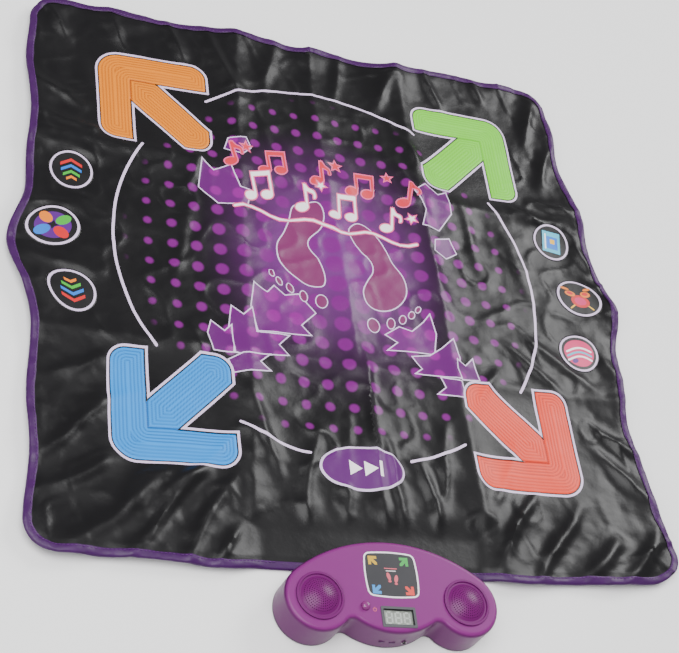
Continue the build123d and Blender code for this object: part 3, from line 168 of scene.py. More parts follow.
def lift(plan):
    """How far the mat stands off the floor at plan points, in millimetres."""
    x = plan[:, 0] - mat_centre[0]
    y = plan[:, 1] - mat_centre[1]
    # storage folds
    z = fold(x - (12 - 0.035 * y), 6.0 - 1.5 * ramp(y, -50, 250), 15)
    z += fold(x + 145 - 0.045 * y, 7.5, 26)
    z += fold(x - 168 + 0.02 * y, 8.0, 24)
    z += fold(y - 188 + 0.03 * x, 5.0, 20)
    z += fold(y + 148 + 0.03 * x, 4.5, 20)
    # panels between the folds, slightly blistered
    z += 3.0 + 2.4 * cloth_noise(x, y, 105.0, 1) + 1.5 * cloth_noise(x, y, 58.0, 2)
    # wrinkles
    creases = np.zeros_like(z)
    for ax, ay, bx, by, height, width in WRINKLES:
        wander = 5.0 * np.sin((x + y) / 37.0) + 3.0 * np.sin((x - y) / 19.0)
        distance, along = to_segment(x + 0.5 * wander, y - 0.5 * wander, ax, ay, bx, by)
        taper = np.sin(np.pi * (0.08 + 0.84 * along)) ** 0.7
        creases += height * taper / (1 + (distance / width) ** 2) ** 1.6
    ridge = 1 - np.abs(cloth_noise(x + 0.35 * y, y - 0.35 * x, 46.0, 3))
    fine = 3.2 * ridge**7 * (0.5 + 0.5 * cloth_noise(x, y, 90.0, 4))
    fine += 0.9 * cloth_noise(x, y, 24.0, 5) + 0.45 * cloth_noise(x, y, 12.0, 6)
    # edges ripple where the tape pulls them in
    edge = np.minimum(mat_half[0] - np.abs(x), mat_half[1] - np.abs(y))
    around = np.where(mat_half[0] - np.abs(x) < mat_half[1] - np.abs(y), y, x)
    ripple = 1.0 + np.sin(around / 27.0 + 0.9 * np.sin(around / 60.0) + np.sign(x))
    z += 3.2 * ripple * np.exp(-np.maximum(edge, 0) / 34)
    stiff = arrow_mask(x, y)
    z += creases * (1 - 0.72 * stiff) + fine * (1 - 0.9 * stiff)
    # corners curl up a little
    far = np.hypot(np.maximum(np.abs(x) - 330, 0), np.maximum(np.abs(y) - 330, 0))
    z += 7.0 * ramp(far, 60, 185) * np.where(y > 0, 1.0, 0.6)
    z = np.maximum(z, 0)
    # held flat where it goes in under the console
    console_x = ramp(np.abs(x), 150, 215)
    console_y = ramp(y, -415, -372)
    return z * np.maximum(console_x, console_y)


def shift(plan):
    """The mat's outline wanders in plan: how far each point moves, in millimetres."""
    x = plan[:, 0] - mat_centre[0]
    y = plan[:, 1] - mat_centre[1]
    left = 10 - 30 * bump(y, 5, 66) - 6 * bump(y, -420, 90) + 3 * np.sin(y / 31.0)
    right = -6 + 18 * bump(y, -415, 60) - 9 * bump(y, -185, 60) + 21 * bump(y, -5, 66)
    right = right - 20 * ramp(y, 90, 380) + 2.5 * np.sin(y / 27.0)
    back = -7 * bump(x, 120, 110) + 2.5 * np.sin(x / 33.0) - 9 * ramp(x, 380, 460)
    front = (-6 * bump(np.abs(x), 215, 60) + 8 * ramp(x, 350, 460)) * ramp(np.abs(x), 150, 200)
    dx = left * ramp(-x, 330, mat_half[0]) + right * ramp(x, 330, mat_half[0])
    dy = back * ramp(y, 360, mat_half[1]) + front * ramp(-y, 360, mat_half[1])
    return np.column_stack([dx, dy])


def lay(plan, height):
    """Places flat plan points of the mat, at a height in its stack, where the soft mat really is."""
    plan = np.asarray(plan, float)
    moved = plan + shift(plan)
    z = lift(plan) + height
    return np.column_stack([moved, z]) * MM


# ------------------------------------------------------------------ plan shapes
def ellipse(cx, cy, rx, ry=None, turn=0.0, steps=40):
    """An ellipse or circle as a closed loop."""
    ry = rx if ry is None else ry
    angles = np.arange(steps) * 2 * math.pi / steps
    px, py = rx * np.cos(angles), ry * np.sin(angles)
    c, s = math.cos(turn), math.sin(turn)
    return np.column_stack([cx + px * c - py * s, cy + px * s + py * c])


def rounded(points, radii, step=3.0):
    """A closed polygon whose corners are rounded to the given radii."""
    loop = []
    count = len(points)
    for index, radius in enumerate(radii):
        corner = np.array(points[index], float)
        before = np.array(points[index - 1], float) - corner
        after = np.array(points[(index + 1) % count], float) - corner
        if radius <= 0:
            loop.append(corner)
            continue
        before, after = before / np.linalg.norm(before), after / np.linalg.norm(after)
        half = math.acos(np.clip(before @ after, -1, 1)) / 2
        middle = corner + (before + after) / np.linalg.norm(before + after) * radius / math.sin(half)
        start = corner + before * radius / math.tan(half) - middle
        end = corner + after * radius / math.tan(half) - middle
        turn = math.atan2(start[0] * end[1] - start[1] * end[0], start @ end)
        pieces = max(3, int(abs(turn) * radius / step))
        for k in range(pieces + 1):
            angle = turn * k / pieces
            c, s = math.cos(angle), math.sin(angle)
            loop.append(middle + np.array([start[0] * c - start[1] * s, start[0] * s + start[1] * c]))
    return np.array(loop)


def smooth(points, per_span=6):
    """A closed smooth curve through a few points."""
    points = np.array(points, float)
    count = len(points)
    loop = []
    for i in range(count):
        a, b, c, d = (points[(i + k) % count] for k in (-1, 0, 1, 2))
        for t in np.arange(per_span) / per_span:
            square, cube = 2 * a - 5 * b + 4 * c - d, 3 * b - a - 3 * c + d
            loop.append(0.5 * (2 * b + (c - a) * t + square * t**2 + cube * t**3))
    return np.array(loop)


def grown(loop, amount):
    """A loop moved outwards by an amount, or inwards when it is negative."""
    loop = np.asarray(loop, float)
    ahead = np.roll(loop, -1, axis=0) - loop
    ahead /= np.maximum(np.linalg.norm(ahead, axis=1, keepdims=True), 1e-9)
    behind = np.roll(ahead, 1, axis=0)
    area = np.sum(loop[:, 0] * np.roll(loop[:, 1], -1) - np.roll(loop[:, 0], -1) * loop[:, 1])
    side = 1 if area > 0 else -1
    normal = side * np.column_stack([ahead[:, 1] + behind[:, 1], -ahead[:, 0] - behind[:, 0]])
    length = np.maximum(np.linalg.norm(normal, axis=1, keepdims=True), 1e-9)
    longest_miter = 2.8
    miter = np.minimum(2 / length, longest_miter)
    return loop + normal / length * amount * miter


def band(points, width):
    """An open line drawn with a width, as a closed loop with round ends."""
    points = np.array(points, float)
    ahead = np.gradient(points, axis=0)
    ahead /= np.linalg.norm(ahead, axis=1, keepdims=True)
    normal = np.column_stack([-ahead[:, 1], ahead[:, 0]]) * width / 2
    loops = [points + normal]
    for end, edge, sign in ((points[-1], normal[-1], 1), (points[0], normal[0], -1)):
        base = math.atan2(edge[1] * sign, edge[0] * sign)
        cap = [
            end + width / 2 * np.array([math.cos(base - a), math.sin(base - a)])
            for a in np.linspace(0, math.pi, 6)[1:-1]
        ]
        loops.append(np.array(cap))
        if sign > 0:
            loops.append((points - normal)[::-1])
    return np.vstack(loops)


def mat_loop(inset, step=6.0):
    """The mat's rounded outline, set in from its edge."""
    hx, hy = mat_half - inset
    cx, cy = mat_centre
    corners = [(cx - hx, cy - hy), (cx + hx, cy - hy), (cx + hx, cy + hy), (cx - hx, cy + hy)]
    loop = rounded(corners, [corner_radius - inset] * 4, step)
    return spaced(loop, step)


def spaced(loop, step):
    """The same loop with extra points on its long stretches."""
    out = []
    for a, b in zip(loop, np.roll(loop, -1, axis=0)):
        pieces = max(1, int(np.linalg.norm(b - a) / step))
        for k in range(pieces):
            out.append(a + (b - a) * k / pieces)
    return np.array(out)


def inside(loops, points, batch=3000):
    """Which points lie inside a set of loops, by the even-odd rule."""
    hit = np.zeros(len(points), bool)
    for loop in loops:
        low, high = loop.min(axis=0), loop.max(axis=0)
        near = np.nonzero(np.all((points >= low) & (points <= high), axis=1))[0]
        ax, ay = loop[:, 0], loop[:, 1]
        bx, by = np.roll(ax, -1), np.roll(ay, -1)
        rise = np.where(by == ay, 1e-12, by - ay)
        for start in range(0, len(near), batch):
            part = near[start : start + batch]
            x, y = points[part, 0][:, None], points[part, 1][:, None]
            crossing = ((ay > y) != (by > y)) & (x < (bx - ax) * (y - ay) / rise + ax)
            hit[part] ^= (np.sum(crossing, axis=1) % 2).astype(bool)
    return hit


def depth_in(loop, points):
    """Distance from points to a loop's line."""
    best = np.full(len(points), 1e9)
    for a, b in zip(loop, np.roll(loop, -1, axis=0)):
        if np.allclose(a, b):
            continue
        distance, _ = to_segment(points[:, 0], points[:, 1], a[0], a[1], b[0], b[1])
        best = np.minimum(best, distance)
    return best


# ------------------------------------------------------------------ meshes
def object_from(name, mesh, materials):
    """Makes an object of a mesh with its materials."""
    obj = bpy.data.objects.new(name, mesh)
    bpy.context.scene.collection.objects.link(obj)
    for material in materials:
        mesh.materials.append(material)
    return obj


def finish_mesh(mesh, uv=None, angle=38.0):
    """Smooth shading with sharp edges kept, and flat plan coordinates as a UV map."""
    if uv is not None:
        layer = mesh.uv_layers.new(name="plan")
        corner = np.empty(len(mesh.loops), int)
        mesh.loops.foreach_get("vertex_index", corner)
        layer.data.foreach_set("uv", np.asarray(uv, np.float32)[corner].ravel())
    mesh.shade_smooth()
    mesh.set_sharp_from_angle(angle=math.radians(angle))


def heights(value, plan):
    """A height given as a number or as a function of plan points."""
    return value(plan) if callable(value) else np.full(len(plan), float(value))


def cut(outline, holes, loops, spacing):
    """Triangles of a flat region that follow its loops, as plan points and faces."""
    region = [outline, *holes]
    loops = region + loops
    edge_points = np.vstack(loops)
    tree = kdtree.KDTree(len(edge_points))
    for index, point in enumerate(edge_points):
        tree.insert((point[0], point[1], 0), index)
    tree.balance()
    lowest, highest = outline.min(axis=0), outline.max(axis=0)
    xs = np.arange(lowest[0] + spacing / 2, highest[0], spacing)
    ys = np.arange(lowest[1] + spacing / 2, highest[1], spacing * 0.866)
    grid = [(x + (row % 2) * spacing / 2, y) for row, y in enumerate(ys) for x in xs]
    grid = np.array(grid).reshape(-1, 2)
    grid = grid[inside(region, grid)]
    clear = [tree.find((p[0], p[1], 0))[2] > spacing * 0.4 for p in grid]
    grid = grid[np.array(clear, bool)]
    points, edges = [], []
    for loop in loops:
        first, count = len(points), len(loop)
        points.extend(loop.tolist())
        edges.extend((first + k, first + (k + 1) % count) for k in range(count))
    points.extend(grid.tolist())
    result = delaunay_2d_cdt([Vector(p) for p in points], edges, [], 0, 1e-3, False)
    plan = np.array([(v.x, v.y) for v in result[0]])
    faces = np.array([f for f in result[2] if len(f) == 3])
    faces = faces[inside(region, plan[faces].mean(axis=1))]
    a, b, c = plan[faces[:, 0]], plan[faces[:, 1]], plan[faces[:, 2]]
    area = (b[:, 0] - a[:, 0]) * (c[:, 1] - a[:, 1]) - (b[:, 1] - a[:, 1]) * (c[:, 0] - a[:, 0])
    faces[area < 0] = faces[area < 0][:, ::-1]
    used, faces = np.unique(faces, return_inverse=True)
    return plan[used], faces.reshape(-1, 3)


def slab(name, outline, prints, spacing, low, high, base, holes=(), laid=True):
    """A closed sheet cut to an outline, with printed regions as materials of its top face.

    prints is a list of (material, loops); a later one covers an earlier one. low and high are heights in
    the mat's stack, or functions of plan points. A laid sheet follows the soft mat; any other is flat.
    Gives the object and the plan points of its upper face.
    """
    plan, faces = cut(outline, list(holes), [loop for _, group in prints for loop in group], spacing)
    middles = plan[faces].mean(axis=1)
    materials, slots = [base], np.zeros(len(faces), int)
    for material, group in prints:
        if material not in materials:
            materials.append(material)
        slots[inside(group, middles)] = materials.index(material)
    top, bottom = heights(high, plan), heights(low, plan)
    if laid:
        upper, lower = lay(plan, top), lay(plan, bottom)
    else:
        upper = np.column_stack([plan, top]) * MM
        lower = np.column_stack([plan, bottom]) * MM
    count = len(plan)
    directed = {(face[k], face[(k + 1) % 3]) for face in faces for k in range(3)}
    rim = sorted((p, q) for p, q in directed if (q, p) not in directed)
    all_faces = faces.tolist() + (faces[:, ::-1] + count).tolist()
    all_faces += [[q, p, p + count, q + count] for p, q in rim]
    all_slots = np.concatenate([slots, np.zeros(len(faces) + len(rim), int)])
    mesh = bpy.data.meshes.new(name)
    mesh.from_pydata(np.vstack([upper, lower]).tolist(), [], all_faces)
    mesh.polygons.foreach_set("material_index", all_slots.astype(np.int32))
    finish_mesh(mesh, np.vstack([plan, plan]) * MM)
    obj = object_from(name, mesh, materials)
    return obj, plan


def float_attribute(obj, name, values):
    """Stores one number per vertex; the lower face of a slab repeats the upper one's."""
    layer = obj.data.attributes.new(name, "FLOAT", "POINT")
    both = np.concatenate([values, values])
    layer.data.foreach_set("value", both.astype(np.float32))


# ------------------------------------------------------------------ materials
def rgb(r, g, b):
    """An 8-bit display colour as the linear colour that shaders use."""
    out = []
    for channel in (r, g, b):
        c = channel / 255
        out.append(c / 12.92 if c <= 0.04045 else ((c + 0.055) / 1.055) ** 2.4)
    return (*out, 1.0)


def shade(colour, factor, lightened=0.0):
    """A colour made darker or lighter."""
    return (*(min(c * factor + lightened, 1) for c in colour[:3]), 1.0)


class Nodes:
    """A small helper that adds shader nodes and links them."""

    def __init__(self, name):
        self.material = bpy.data.materials.new(name)
        self.material.use_nodes = True
        self.tree = self.material.node_tree
        self.shader = self.tree.nodes["Principled BSDF"]

    def add(self, kind, **values):
        node = self.tree.nodes.new(kind)
        for key, value in values.items():
            setattr(node, key, value)
        return node

    def link(self, source, target):
        if hasattr(source, "is_output"):
            self.tree.links.new(source, target)
        else:
            target.default_value = source

    def maths(self, operation, a, b=0.0, c=None, clamp=False):
        node = self.add("ShaderNodeMath", operation=operation, use_clamp=clamp)
        self.link(a, node.inputs[0])
        self.link(b, node.inputs[1])
        if c is not None:
            self.link(c, node.inputs[2])
        return node.outputs[0]

    def rise(self, value, low, high):
        node = self.add("ShaderNodeMapRange", interpolation_type="SMOOTHSTEP")
        self.link(value, node.inputs["Value"])
        self.link(low, node.inputs["From Min"])
        self.link(high, node.inputs["From Max"])
        return node.outputs["Result"]

    def mix(self, factor, a, b):
        node = self.add("ShaderNodeMix", data_type="RGBA")
        self.link(factor, node.inputs["Factor"])
        self.link(a, node.inputs[6])
        self.link(b, node.inputs[7])
        return node.outputs[2]

    def noise(self, scale, detail=3.0, source=None, roughness=0.5):
        node = self.add("ShaderNodeTexNoise")
        node.inputs["Scale"].default_value = scale
        node.inputs["Detail"].default_value = detail
        node.inputs["Roughness"].default_value = roughness
        place = source or self.add("ShaderNodeTexCoord").outputs["Object"]
        self.link(place, node.inputs["Vector"])
        return node.outputs["Fac"]

    def bump(self, height, strength, distance, previous=None):
        node = self.add("ShaderNodeBump")
        node.inputs["Strength"].default_value = strength
        node.inputs["Distance"].default_value = distance
        self.link(height, node.inputs["Height"])
        if previous is not None:
            self.link(previous, node.inputs["Normal"])
        return node.outputs["Normal"]

    def rough(self, factor, low, high):
        """Roughness that wanders between two values."""
        spread = self.add("ShaderNodeMapRange")
        self.link(factor, spread.inputs["Value"])
        spread.inputs["To Min"].default_value = low
        spread.inputs["To Max"].default_value = high
        self.link(spread.outputs["Result"], self.shader.inputs["Roughness"])

    def set(self, **values):
        for key, value in values.items():
            self.shader.inputs[key.replace("_", " ")].default_value = value


def tinted(name, colour, rough, vary=0.12, patch=30.0, grain=900.0, grain_bump=0.1, metal=0.0,
           **sockets):
    """A moulded or coated surface: soft colour patches, roughness that wanders, and a fine grain."""
    n = Nodes(name)
    patches = n.mix(n.noise(patch), shade(colour, 1 - vary), shade(colour, 1 + vary, 0.004))
    n.link(patches, n.shader.inputs["Base Color"])
    n.rough(n.noise(patch * 3, 5), max(rough - 0.06, 0.02), min(rough + 0.08, 1))
    n.link(n.bump(n.noise(grain, 2), grain_bump, 0.0004), n.shader.inputs["Normal"])
    n.set(Metallic=metal, **sockets)
    return n.material


def film(n, strength=0.25):
    """The fine pebble and soft dimples of calendered PVC sheet."""
    pebble = n.bump(n.noise(1400.0, 2), 0.12, 0.0002)
    return n.bump(n.noise(55.0, 4), strength, 0.0016, pebble)


def vinyl(name, colour, rough=0.38, vary=0.06):
    """Glossy printed PVC in one ink."""
    n = Nodes(name)
    worn = shade(colour, 1 + vary, 0.01)
    n.link(n.mix(n.noise(38.0), colour, worn), n.shader.inputs["Base Color"])
    n.rough(n.noise(24.0, 4), rough - 0.07, rough + 0.1)
    n.link(film(n), n.shader.inputs["Normal"])
    n.set(Specular_IOR_Level=0.3)
    return n.material


print_centre = (centre_of("yellow_arrow_pad") + centre_of("red_arrow_pad")) / 2
ring_centre = print_centre + np.array([0, 3.0])
dot_pitch = 0.0355


def stage_print(name, glow_colour, dot_colour, field_colour, strength=1.0):
    """The mat's field: a soft glow in the middle and halftone dots that shrink outwards, in metres."""
    n = Nodes(name)
    times, plus, minus = (
        lambda a, b, kind=kind: n.maths(kind, a, b) for kind in ("MULTIPLY", "ADD", "SUBTRACT")
    )
    plan = n.add("ShaderNodeUVMap", uv_map="plan").outputs["UV"]
    split = n.add("ShaderNodeSeparateXYZ")
    n.link(plan, split.inputs[0])
    x = minus(split.outputs[0], ring_centre[0] * MM)
    y = minus(split.outputs[1], ring_centre[1] * MM)
    reach = n.maths("SQRT", plus(times(x, x), times(y, y)))
    # distance to the nearest point of a square grid
    cell_x = n.maths("PINGPONG", x, dot_pitch / 2)
    cell_y = n.maths("PINGPONG", y, dot_pitch / 2)
    off = n.maths("SQRT", plus(times(cell_x, cell_x), times(cell_y, cell_y)))
    radius = n.add("ShaderNodeMapRange")
    n.link(reach, radius.inputs["Value"])
    for socket, size in (("From Min", 0.04), ("From Max", 0.33), ("To Min", 0.0145), ("To Max", 0.0045)):
        radius.inputs[socket].default_value = size
    dots = minus(1.0, n.rise(minus(off, radius.outputs["Result"]), -0.0026, 0.0022))
    dots = times(dots, minus(1.0, n.rise(reach, 0.295, 0.325)))
    # the glow is a beam that is strongest above the middle, with a cloud over it
    glow = minus(1.0, n.rise(reach, 0.03, 0.27))
    beam = minus(1.0, n.rise(n.maths("ABSOLUTE", x), 0.07, 0.24))
    height = plus(times(n.rise(y, -0.22, 0.02), 0.7), 0.3)
    cloud = plus(times(n.noise(9.0, 4), 0.7), 0.65)
    glow = n.maths("MULTIPLY", times(times(glow, beam), height), cloud, clamp=True)
    glow = times(glow, strength)
    field = n.mix(glow, field_colour, glow_colour)
    ink = times(dots, minus(0.95, times(glow, 0.25)))
    n.link(n.mix(ink, field, dot_colour), n.shader.inputs["Base Color"])
    n.rough(n.noise(16.0, 5), 0.26, 0.46)
    n.link(film(n, 0.32), n.shader.inputs["Normal"])
    n.set(Specular_IOR_Level=0.3)
    return n.material


def embossed(name, colour, groove):
    """Pad ink with darker embossed lines, read from the mesh."""
    n = Nodes(name)
    line = n.add("ShaderNodeAttribute", attribute_name="groove").outputs["Fac"]
    body = n.mix(n.noise(32.0), colour, shade(colour, 1.08, 0.008))
    n.link(n.mix(line, body, groove), n.shader.inputs["Base Color"])
    n.rough(n.noise(28.0, 4), 0.34, 0.5)
    n.link(film(n, 0.15), n.shader.inputs["Normal"])
    n.set(Specular_IOR_Level=0.25)
    return n.material


def woven(name, colour, pitch=0.0011, rough=0.6):
    """Plain weave: two crossed thread directions under a coating."""
    n = Nodes(name)
    split = n.add("ShaderNodeSeparateXYZ")
    n.link(n.add("ShaderNodeTexCoord").outputs["Object"], split.inputs[0])
    turns = 2 * math.pi / pitch
    across, along = (n.maths("SINE", n.maths("MULTIPLY", split.outputs[i], turns)) for i in (0, 1))
    weave = n.maths("ADD", n.maths("MULTIPLY", n.maths("MULTIPLY", across, along), 0.5), 0.5)
    worn = n.mix(n.maths("MULTIPLY", weave, n.noise(60.0, 4)), colour, shade(colour, 0.72))
    n.link(worn, n.shader.inputs["Base Color"])
    n.link(n.bump(weave, 0.25, 0.0003), n.shader.inputs["Normal"])
    n.set(Roughness=rough, Sheen_Weight=0.15)
    return n.material


LILAC = vinyl("ink_lilac", rgb(214, 194, 226))
WHITE = vinyl("ink_white", rgb(246, 240, 244))
PINK = vinyl("ink_pink", rgb(226, 92, 140))
RED = vinyl("ink_red", rgb(206, 44, 62))
FIELD = stage_print("mat_field", rgb(108, 42, 118), rgb(114, 14, 116), rgb(9, 8, 11))
RIBBON = stage_print("ink_ribbon", rgb(132, 44, 136), rgb(132, 20, 130), rgb(92, 22, 100), 0.8)
SOLE = vinyl("ink_sole", rgb(112, 34, 88))
PAD_BLACK = vinyl("pad_black", rgb(12, 11, 14))
PAD_PURPLE = vinyl("pad_purple", rgb(84, 16, 98))
ICON = {
    "red": vinyl("ink_icon_red", rgb(200, 30, 34)),
    "blue": vinyl("ink_icon_blue", rgb(22, 112, 206)),
    "green": vinyl("ink_icon_green", rgb(58, 168, 48)),
    "orange": vinyl("ink_icon_orange", rgb(226, 120, 20)),
    "cyan": vinyl("ink_icon_cyan", rgb(70, 180, 210)),
    "pink": vinyl("ink_icon_pink", rgb(208, 26, 100)),
    "yellow": vinyl("ink_icon_yellow", rgb(232, 180, 40)),
    "purple": vinyl("ink_icon_purple", rgb(84, 24, 120)),
}
ARROW_INK = {
    "yellow_arrow_pad": embossed("pad_yellow", rgb(226, 128, 0), rgb(160, 72, 0)),
    "green_arrow_pad": embossed("pad_green", rgb(112, 206, 44), rgb(96, 184, 36)),
    "blue_arrow_pad": embossed("pad_blue", rgb(14, 138, 222), rgb(6, 86, 156)),
    "red_arrow_pad": embossed("pad_red", rgb(232, 72, 48), rgb(176, 44, 30)),
}


# ------------------------------------------------------------------ what is printed on the mat
def on_mat(points):
    """Points given from the mat's middle, in the CAD frame."""
    return np.asarray(points, float) + mat_centre


def arc_band(start, end, width=4.2, radius=335.0):
    """A stretch of the stage circle, from one angle to another in degrees."""
    angles = np.radians(np.linspace(start, end, max(8, int(abs(end - start) * 0.7))))
    line = ring_centre + radius * np.column_stack([np.cos(angles), np.sin(angles)])
    return band(line, width)


# Each arrow's print reaches past its pad's solid by this much.
print_past_pad = 1.5
arrow_arm, arrow_size, arrow_tail = 58.0, 178.0, 67.0


def arrow_outline(node):
    """An arrow's whole printed outline, from its outer corner inwards."""
    side_x, side_y = arrow_pads[node]
    low, high = box_of(node)
    corner = np.array([high[0] if side_x > 0 else low[0], high[1] if side_y > 0 else low[1]])
    corner = corner + print_past_pad * np.array([side_x, side_y])
    half = arrow_tail / 2 * math.sqrt(2)
    near, far = arrow_arm, arrow_size
    uv = [(0, 0), (far, 0), (far, near), (near + half, near), (far, far - half), (far, far)]
    uv += [(far - half, far), (near, near + half), (near, far), (0, far)]
    points = [corner - np.array([side_x * u, side_y * v]) for u, v in uv]
    loop = rounded(points, [38, 28, 0, 0, 0, 28, 0, 0, 0, 28], 3.0)
    keep = np.linalg.norm(loop - np.roll(loop, 1, axis=0), axis=1) > 0.05
    return loop[keep], corner


arrow_border, outline_width = 5.5, 3.6

LEFT_SOLE = [(-17, 146), (-7, 134), (-7, 111), (-15, 92), (-34, 72), (-36, 56), (-24, 37), (-17, 14), (-17, -4),
             (-25, -14), (-46, -15), (-65, -3), (-84, 15), (-91, 35), (-88, 57), (-76, 78), (-65, 104),
             (-56, 131), (-40, 137)]
RIGHT_SOLE = [(48, 117), (66, 111), (80, 94), (89, 74), (99, 47), (112, 24), (115, 0), (106, -22), (86, -39),
              (61, -44), (44, -34), (40, -14), (48, 5), (61, 26), (60, 44), (46, 60), (35, 80), (32, 102)]
TOES = [(-28, -40, 10, 12.5, -0.2), (-55, -34, 6.5, 10, 0.1), (-75, -23, 6, 9, 0.25), (-91, -13, 5, 8, 0.4),
        (-102, -1, 4.5, 6.5, 0.5), (51, -70, 10.5, 13, -0.1), (80, -63, 7, 10.5, -0.25), (100, -54, 6, 9, -0.4),
        (116, -44, 5.5, 8, -0.5), (128, -33, 4.5, 7, -0.6)]
RIBBONS = [
    [(-133, -22), (-112, -35), (-100, -21), (-84, -36), (-62, -30), (-38, -62), (-63, -87), (-49, -104),
     (-134, -108), (-141, -66)],
    [(-170, -67), (-153, -82), (-137, -65), (-134, -108), (-83, -107), (-102, -127), (-89, -145), (-152, -155),
     (-172, -151), (-178, -108)],
    [(-202, -97), (-183, -113), (-171, -101), (-172, -151), (-202, -149), (-209, -120)],
    [(-175, -182), (-118, -174), (-134, -161), (-118, -147), (-160, -149), (-182, -160)],
    [(133, -53), (146, -37), (152, -74), (144, -111), (65, -112), (84, -96), (66, -84), (92, -66), (112, -72)],
    [(156, -97), (178, -78), (184, -112), (175, -155), (102, -150), (116, -139), (103, -118), (134, -112)],
    [(177, -113), (189, -125), (205, -109), (208, -152), (175, -157), (172, -134)],
    [(175, -157), (181, -186), (133, -181), (148, -169), (141, -152)],
    [(-196, 196), (-178, 176), (-150, 190), (-138, 150), (-120, 148), (-128, 116), (-176, 112), (-204, 140)],
    [(-150, 246), (-120, 252), (-112, 232), (-130, 214), (-158, 222)],
    [(150, 190), (176, 214), (196, 196), (214, 206), (216, 160), (188, 122), (158, 128), (166, 156)],
    [(176, 104), (204, 112), (214, 84), (192, 70), (172, 82)],
]


def spikes(loop):
    """A ribbon cluster's outline with its straight runs kept."""
    return spaced(on_mat(loop), 8.0)


def note(x, y, size, lean=0.0, pair=False):
    """A generic music note: an oval head, a stem and a flag or a beam, as separate loops."""
    c, s = math.cos(lean), math.sin(lean)

    def at(points):
        points = np.asarray(points, float) * size
        px, py = points[:, 0], points[:, 1]
        return np.column_stack([x + px * c - py * s, y + px * s + py * c])

    heads = [ellipse(0, 0, 0.30, 0.22, 0.35, 22)]
    stems = [np.array([(0.20, 0.05), (0.30, 0.05), (0.30, 1.22), (0.20, 1.22)])]
    if pair:
        heads.append(ellipse(0.82, 0.12, 0.30, 0.22, 0.35, 22))
        stems.append(np.array([(1.02, 0.17), (1.12, 0.17), (1.12, 1.34), (1.02, 1.34)]))
        stems.append(np.array([(0.20, 1.02), (1.12, 1.14), (1.12, 1.36), (0.20, 1.24)]))
    else:
        stems.append(smooth([(0.28, 1.22), (0.44, 0.98), (0.66, 0.86), (0.70, 0.58), (0.60, 0.50), (0.60, 0.72),
                             (0.42, 0.82), (0.28, 0.88)], 4))
    return [at(loop) for loop in heads + stems]


def star(x, y, size, points=5, turn=0.3):
    """A plain star."""
    angles = turn + np.arange(2 * points) * math.pi / points
    reach = np.where(np.arange(2 * points) % 2 == 0, size, size * 0.45)
    return np.column_stack([x + reach * np.cos(angles), y + reach * np.sin(angles)])


def motif():
    """Two leaning rows of music notes, stars and a wave, where a title would be on such a mat."""
    upper, lower = [], []
    lean = -0.12
    upper += note(-150, 196, 34, 0.10) + note(-96, 190, 32, 0.0, True) + note(-12, 184, 34, -0.06)
    upper += note(46, 176, 33, -0.12, True) + note(132, 168, 34, -0.2)
    upper += [star(-122, 232, 8), star(24, 222, 9), star(112, 216, 7)]
    lower += note(-122, 138, 34, 0.12, True) + note(-40, 132, 36, 0.04) + note(12, 124, 34, -0.05, True)
    lower += note(98, 116, 35, -0.16)
    lower += [star(-6, 176, 7, turn=1.0), star(142, 138, 8, turn=0.7)]
    lower.append(band([(-150 + t * 14, 112 + 7 * math.sin(t * 0.9) + lean * t * 9) for t in range(22)], 3.5))
    return [on_mat(loop) for loop in upper], [on_mat(loop) for loop in lower]


def mat_prints():
    """Everything printed on the top cover around the pads, in the order it is laid down."""
    prints = []
    for loop in RIBBONS:
        outer = spikes(loop)
        prints.append((LILAC, [outer]))
        prints.append((RIBBON, [grown(outer, -1.9)]))
    for start, end in ((148.5, 212.6), (122.5, 58.9), (30.2, -34.8), (239.3, 257.0), (283.0, 299.3)):
        prints.append((LILAC, [arc_band(start, end)]))
    for node in arrow_pads:
        outline, _ = arrow_outline(node)
        prints.append((LILAC, [spaced(outline, 5.0)]))
        prints.append((PAD_BLACK, [spaced(grown(outline, -outline_width), 5.0)]))
    for sole in (LEFT_SOLE, RIGHT_SOLE):
        outer = smooth(on_mat(sole), 4)
        prints.append((LILAC, [outer]))
        prints.append((SOLE, [grown(outer, -2.0)]))
    for x, y, rx, ry, turn in TOES:
        cx, cy = on_mat((x, y))
        prints.append((LILAC, [ellipse(cx, cy, rx, ry, turn, 26)]))
        prints.append((SOLE, [ellipse(cx, cy, rx - 1.6, ry - 1.6, turn, 26)]))
    upper, lower = motif()
    for group, edge, fill in ((upper, PINK, RED), (lower, PINK, WHITE)):
        for loop in group:
            prints.append((edge, [grown(loop, 2.0)]))
        for loop in group:
            prints.append((fill, [loop]))
    return prints


# ------------------------------------------------------------------ the soft mat
film_heights = [corner[2] for corner in box_of("lower_film")]
foam_low = box_of("foam_spacer")[0][2]
pad_low = box_of("start_pad")[0][2]
sheet_inset = 0.9       # the covers' edge, inside the binding
foam_inset = 1.6
hem_drop = 0.8
hem_inset = 13.5
window_gap = 0.4        # between a pad and the cover
foam_gap = 4.4          # between a pad and the foam
slack = 0.8             # between the foam and the cover
pad_ease = 1.2          # a pad's underside stands this far above its solid's
sheet_grid = {"mat_top_sheet": 5.0, "spacer_sheet": 7.0, "film_sheet": 6.0, "mat_backing": 9.0}


def hem(plan):
    """One inside the bound hem, where the covers step towards each other, and zero inside it."""
    away = mat_half - np.abs(plan - mat_centre)
    corner = np.maximum(corner_radius - away, 0)
    at_corner = corner_radius - np.hypot(corner[:, 0], corner[:, 1])
    edge = np.where(np.all(corner > 0, axis=1), at_corner, away.min(axis=1))
    return 1 - ramp(edge, hem_inset - 1.5, hem_inset + 1.5)


flange = 4.0            # the thin welded rim around a round or oval pad


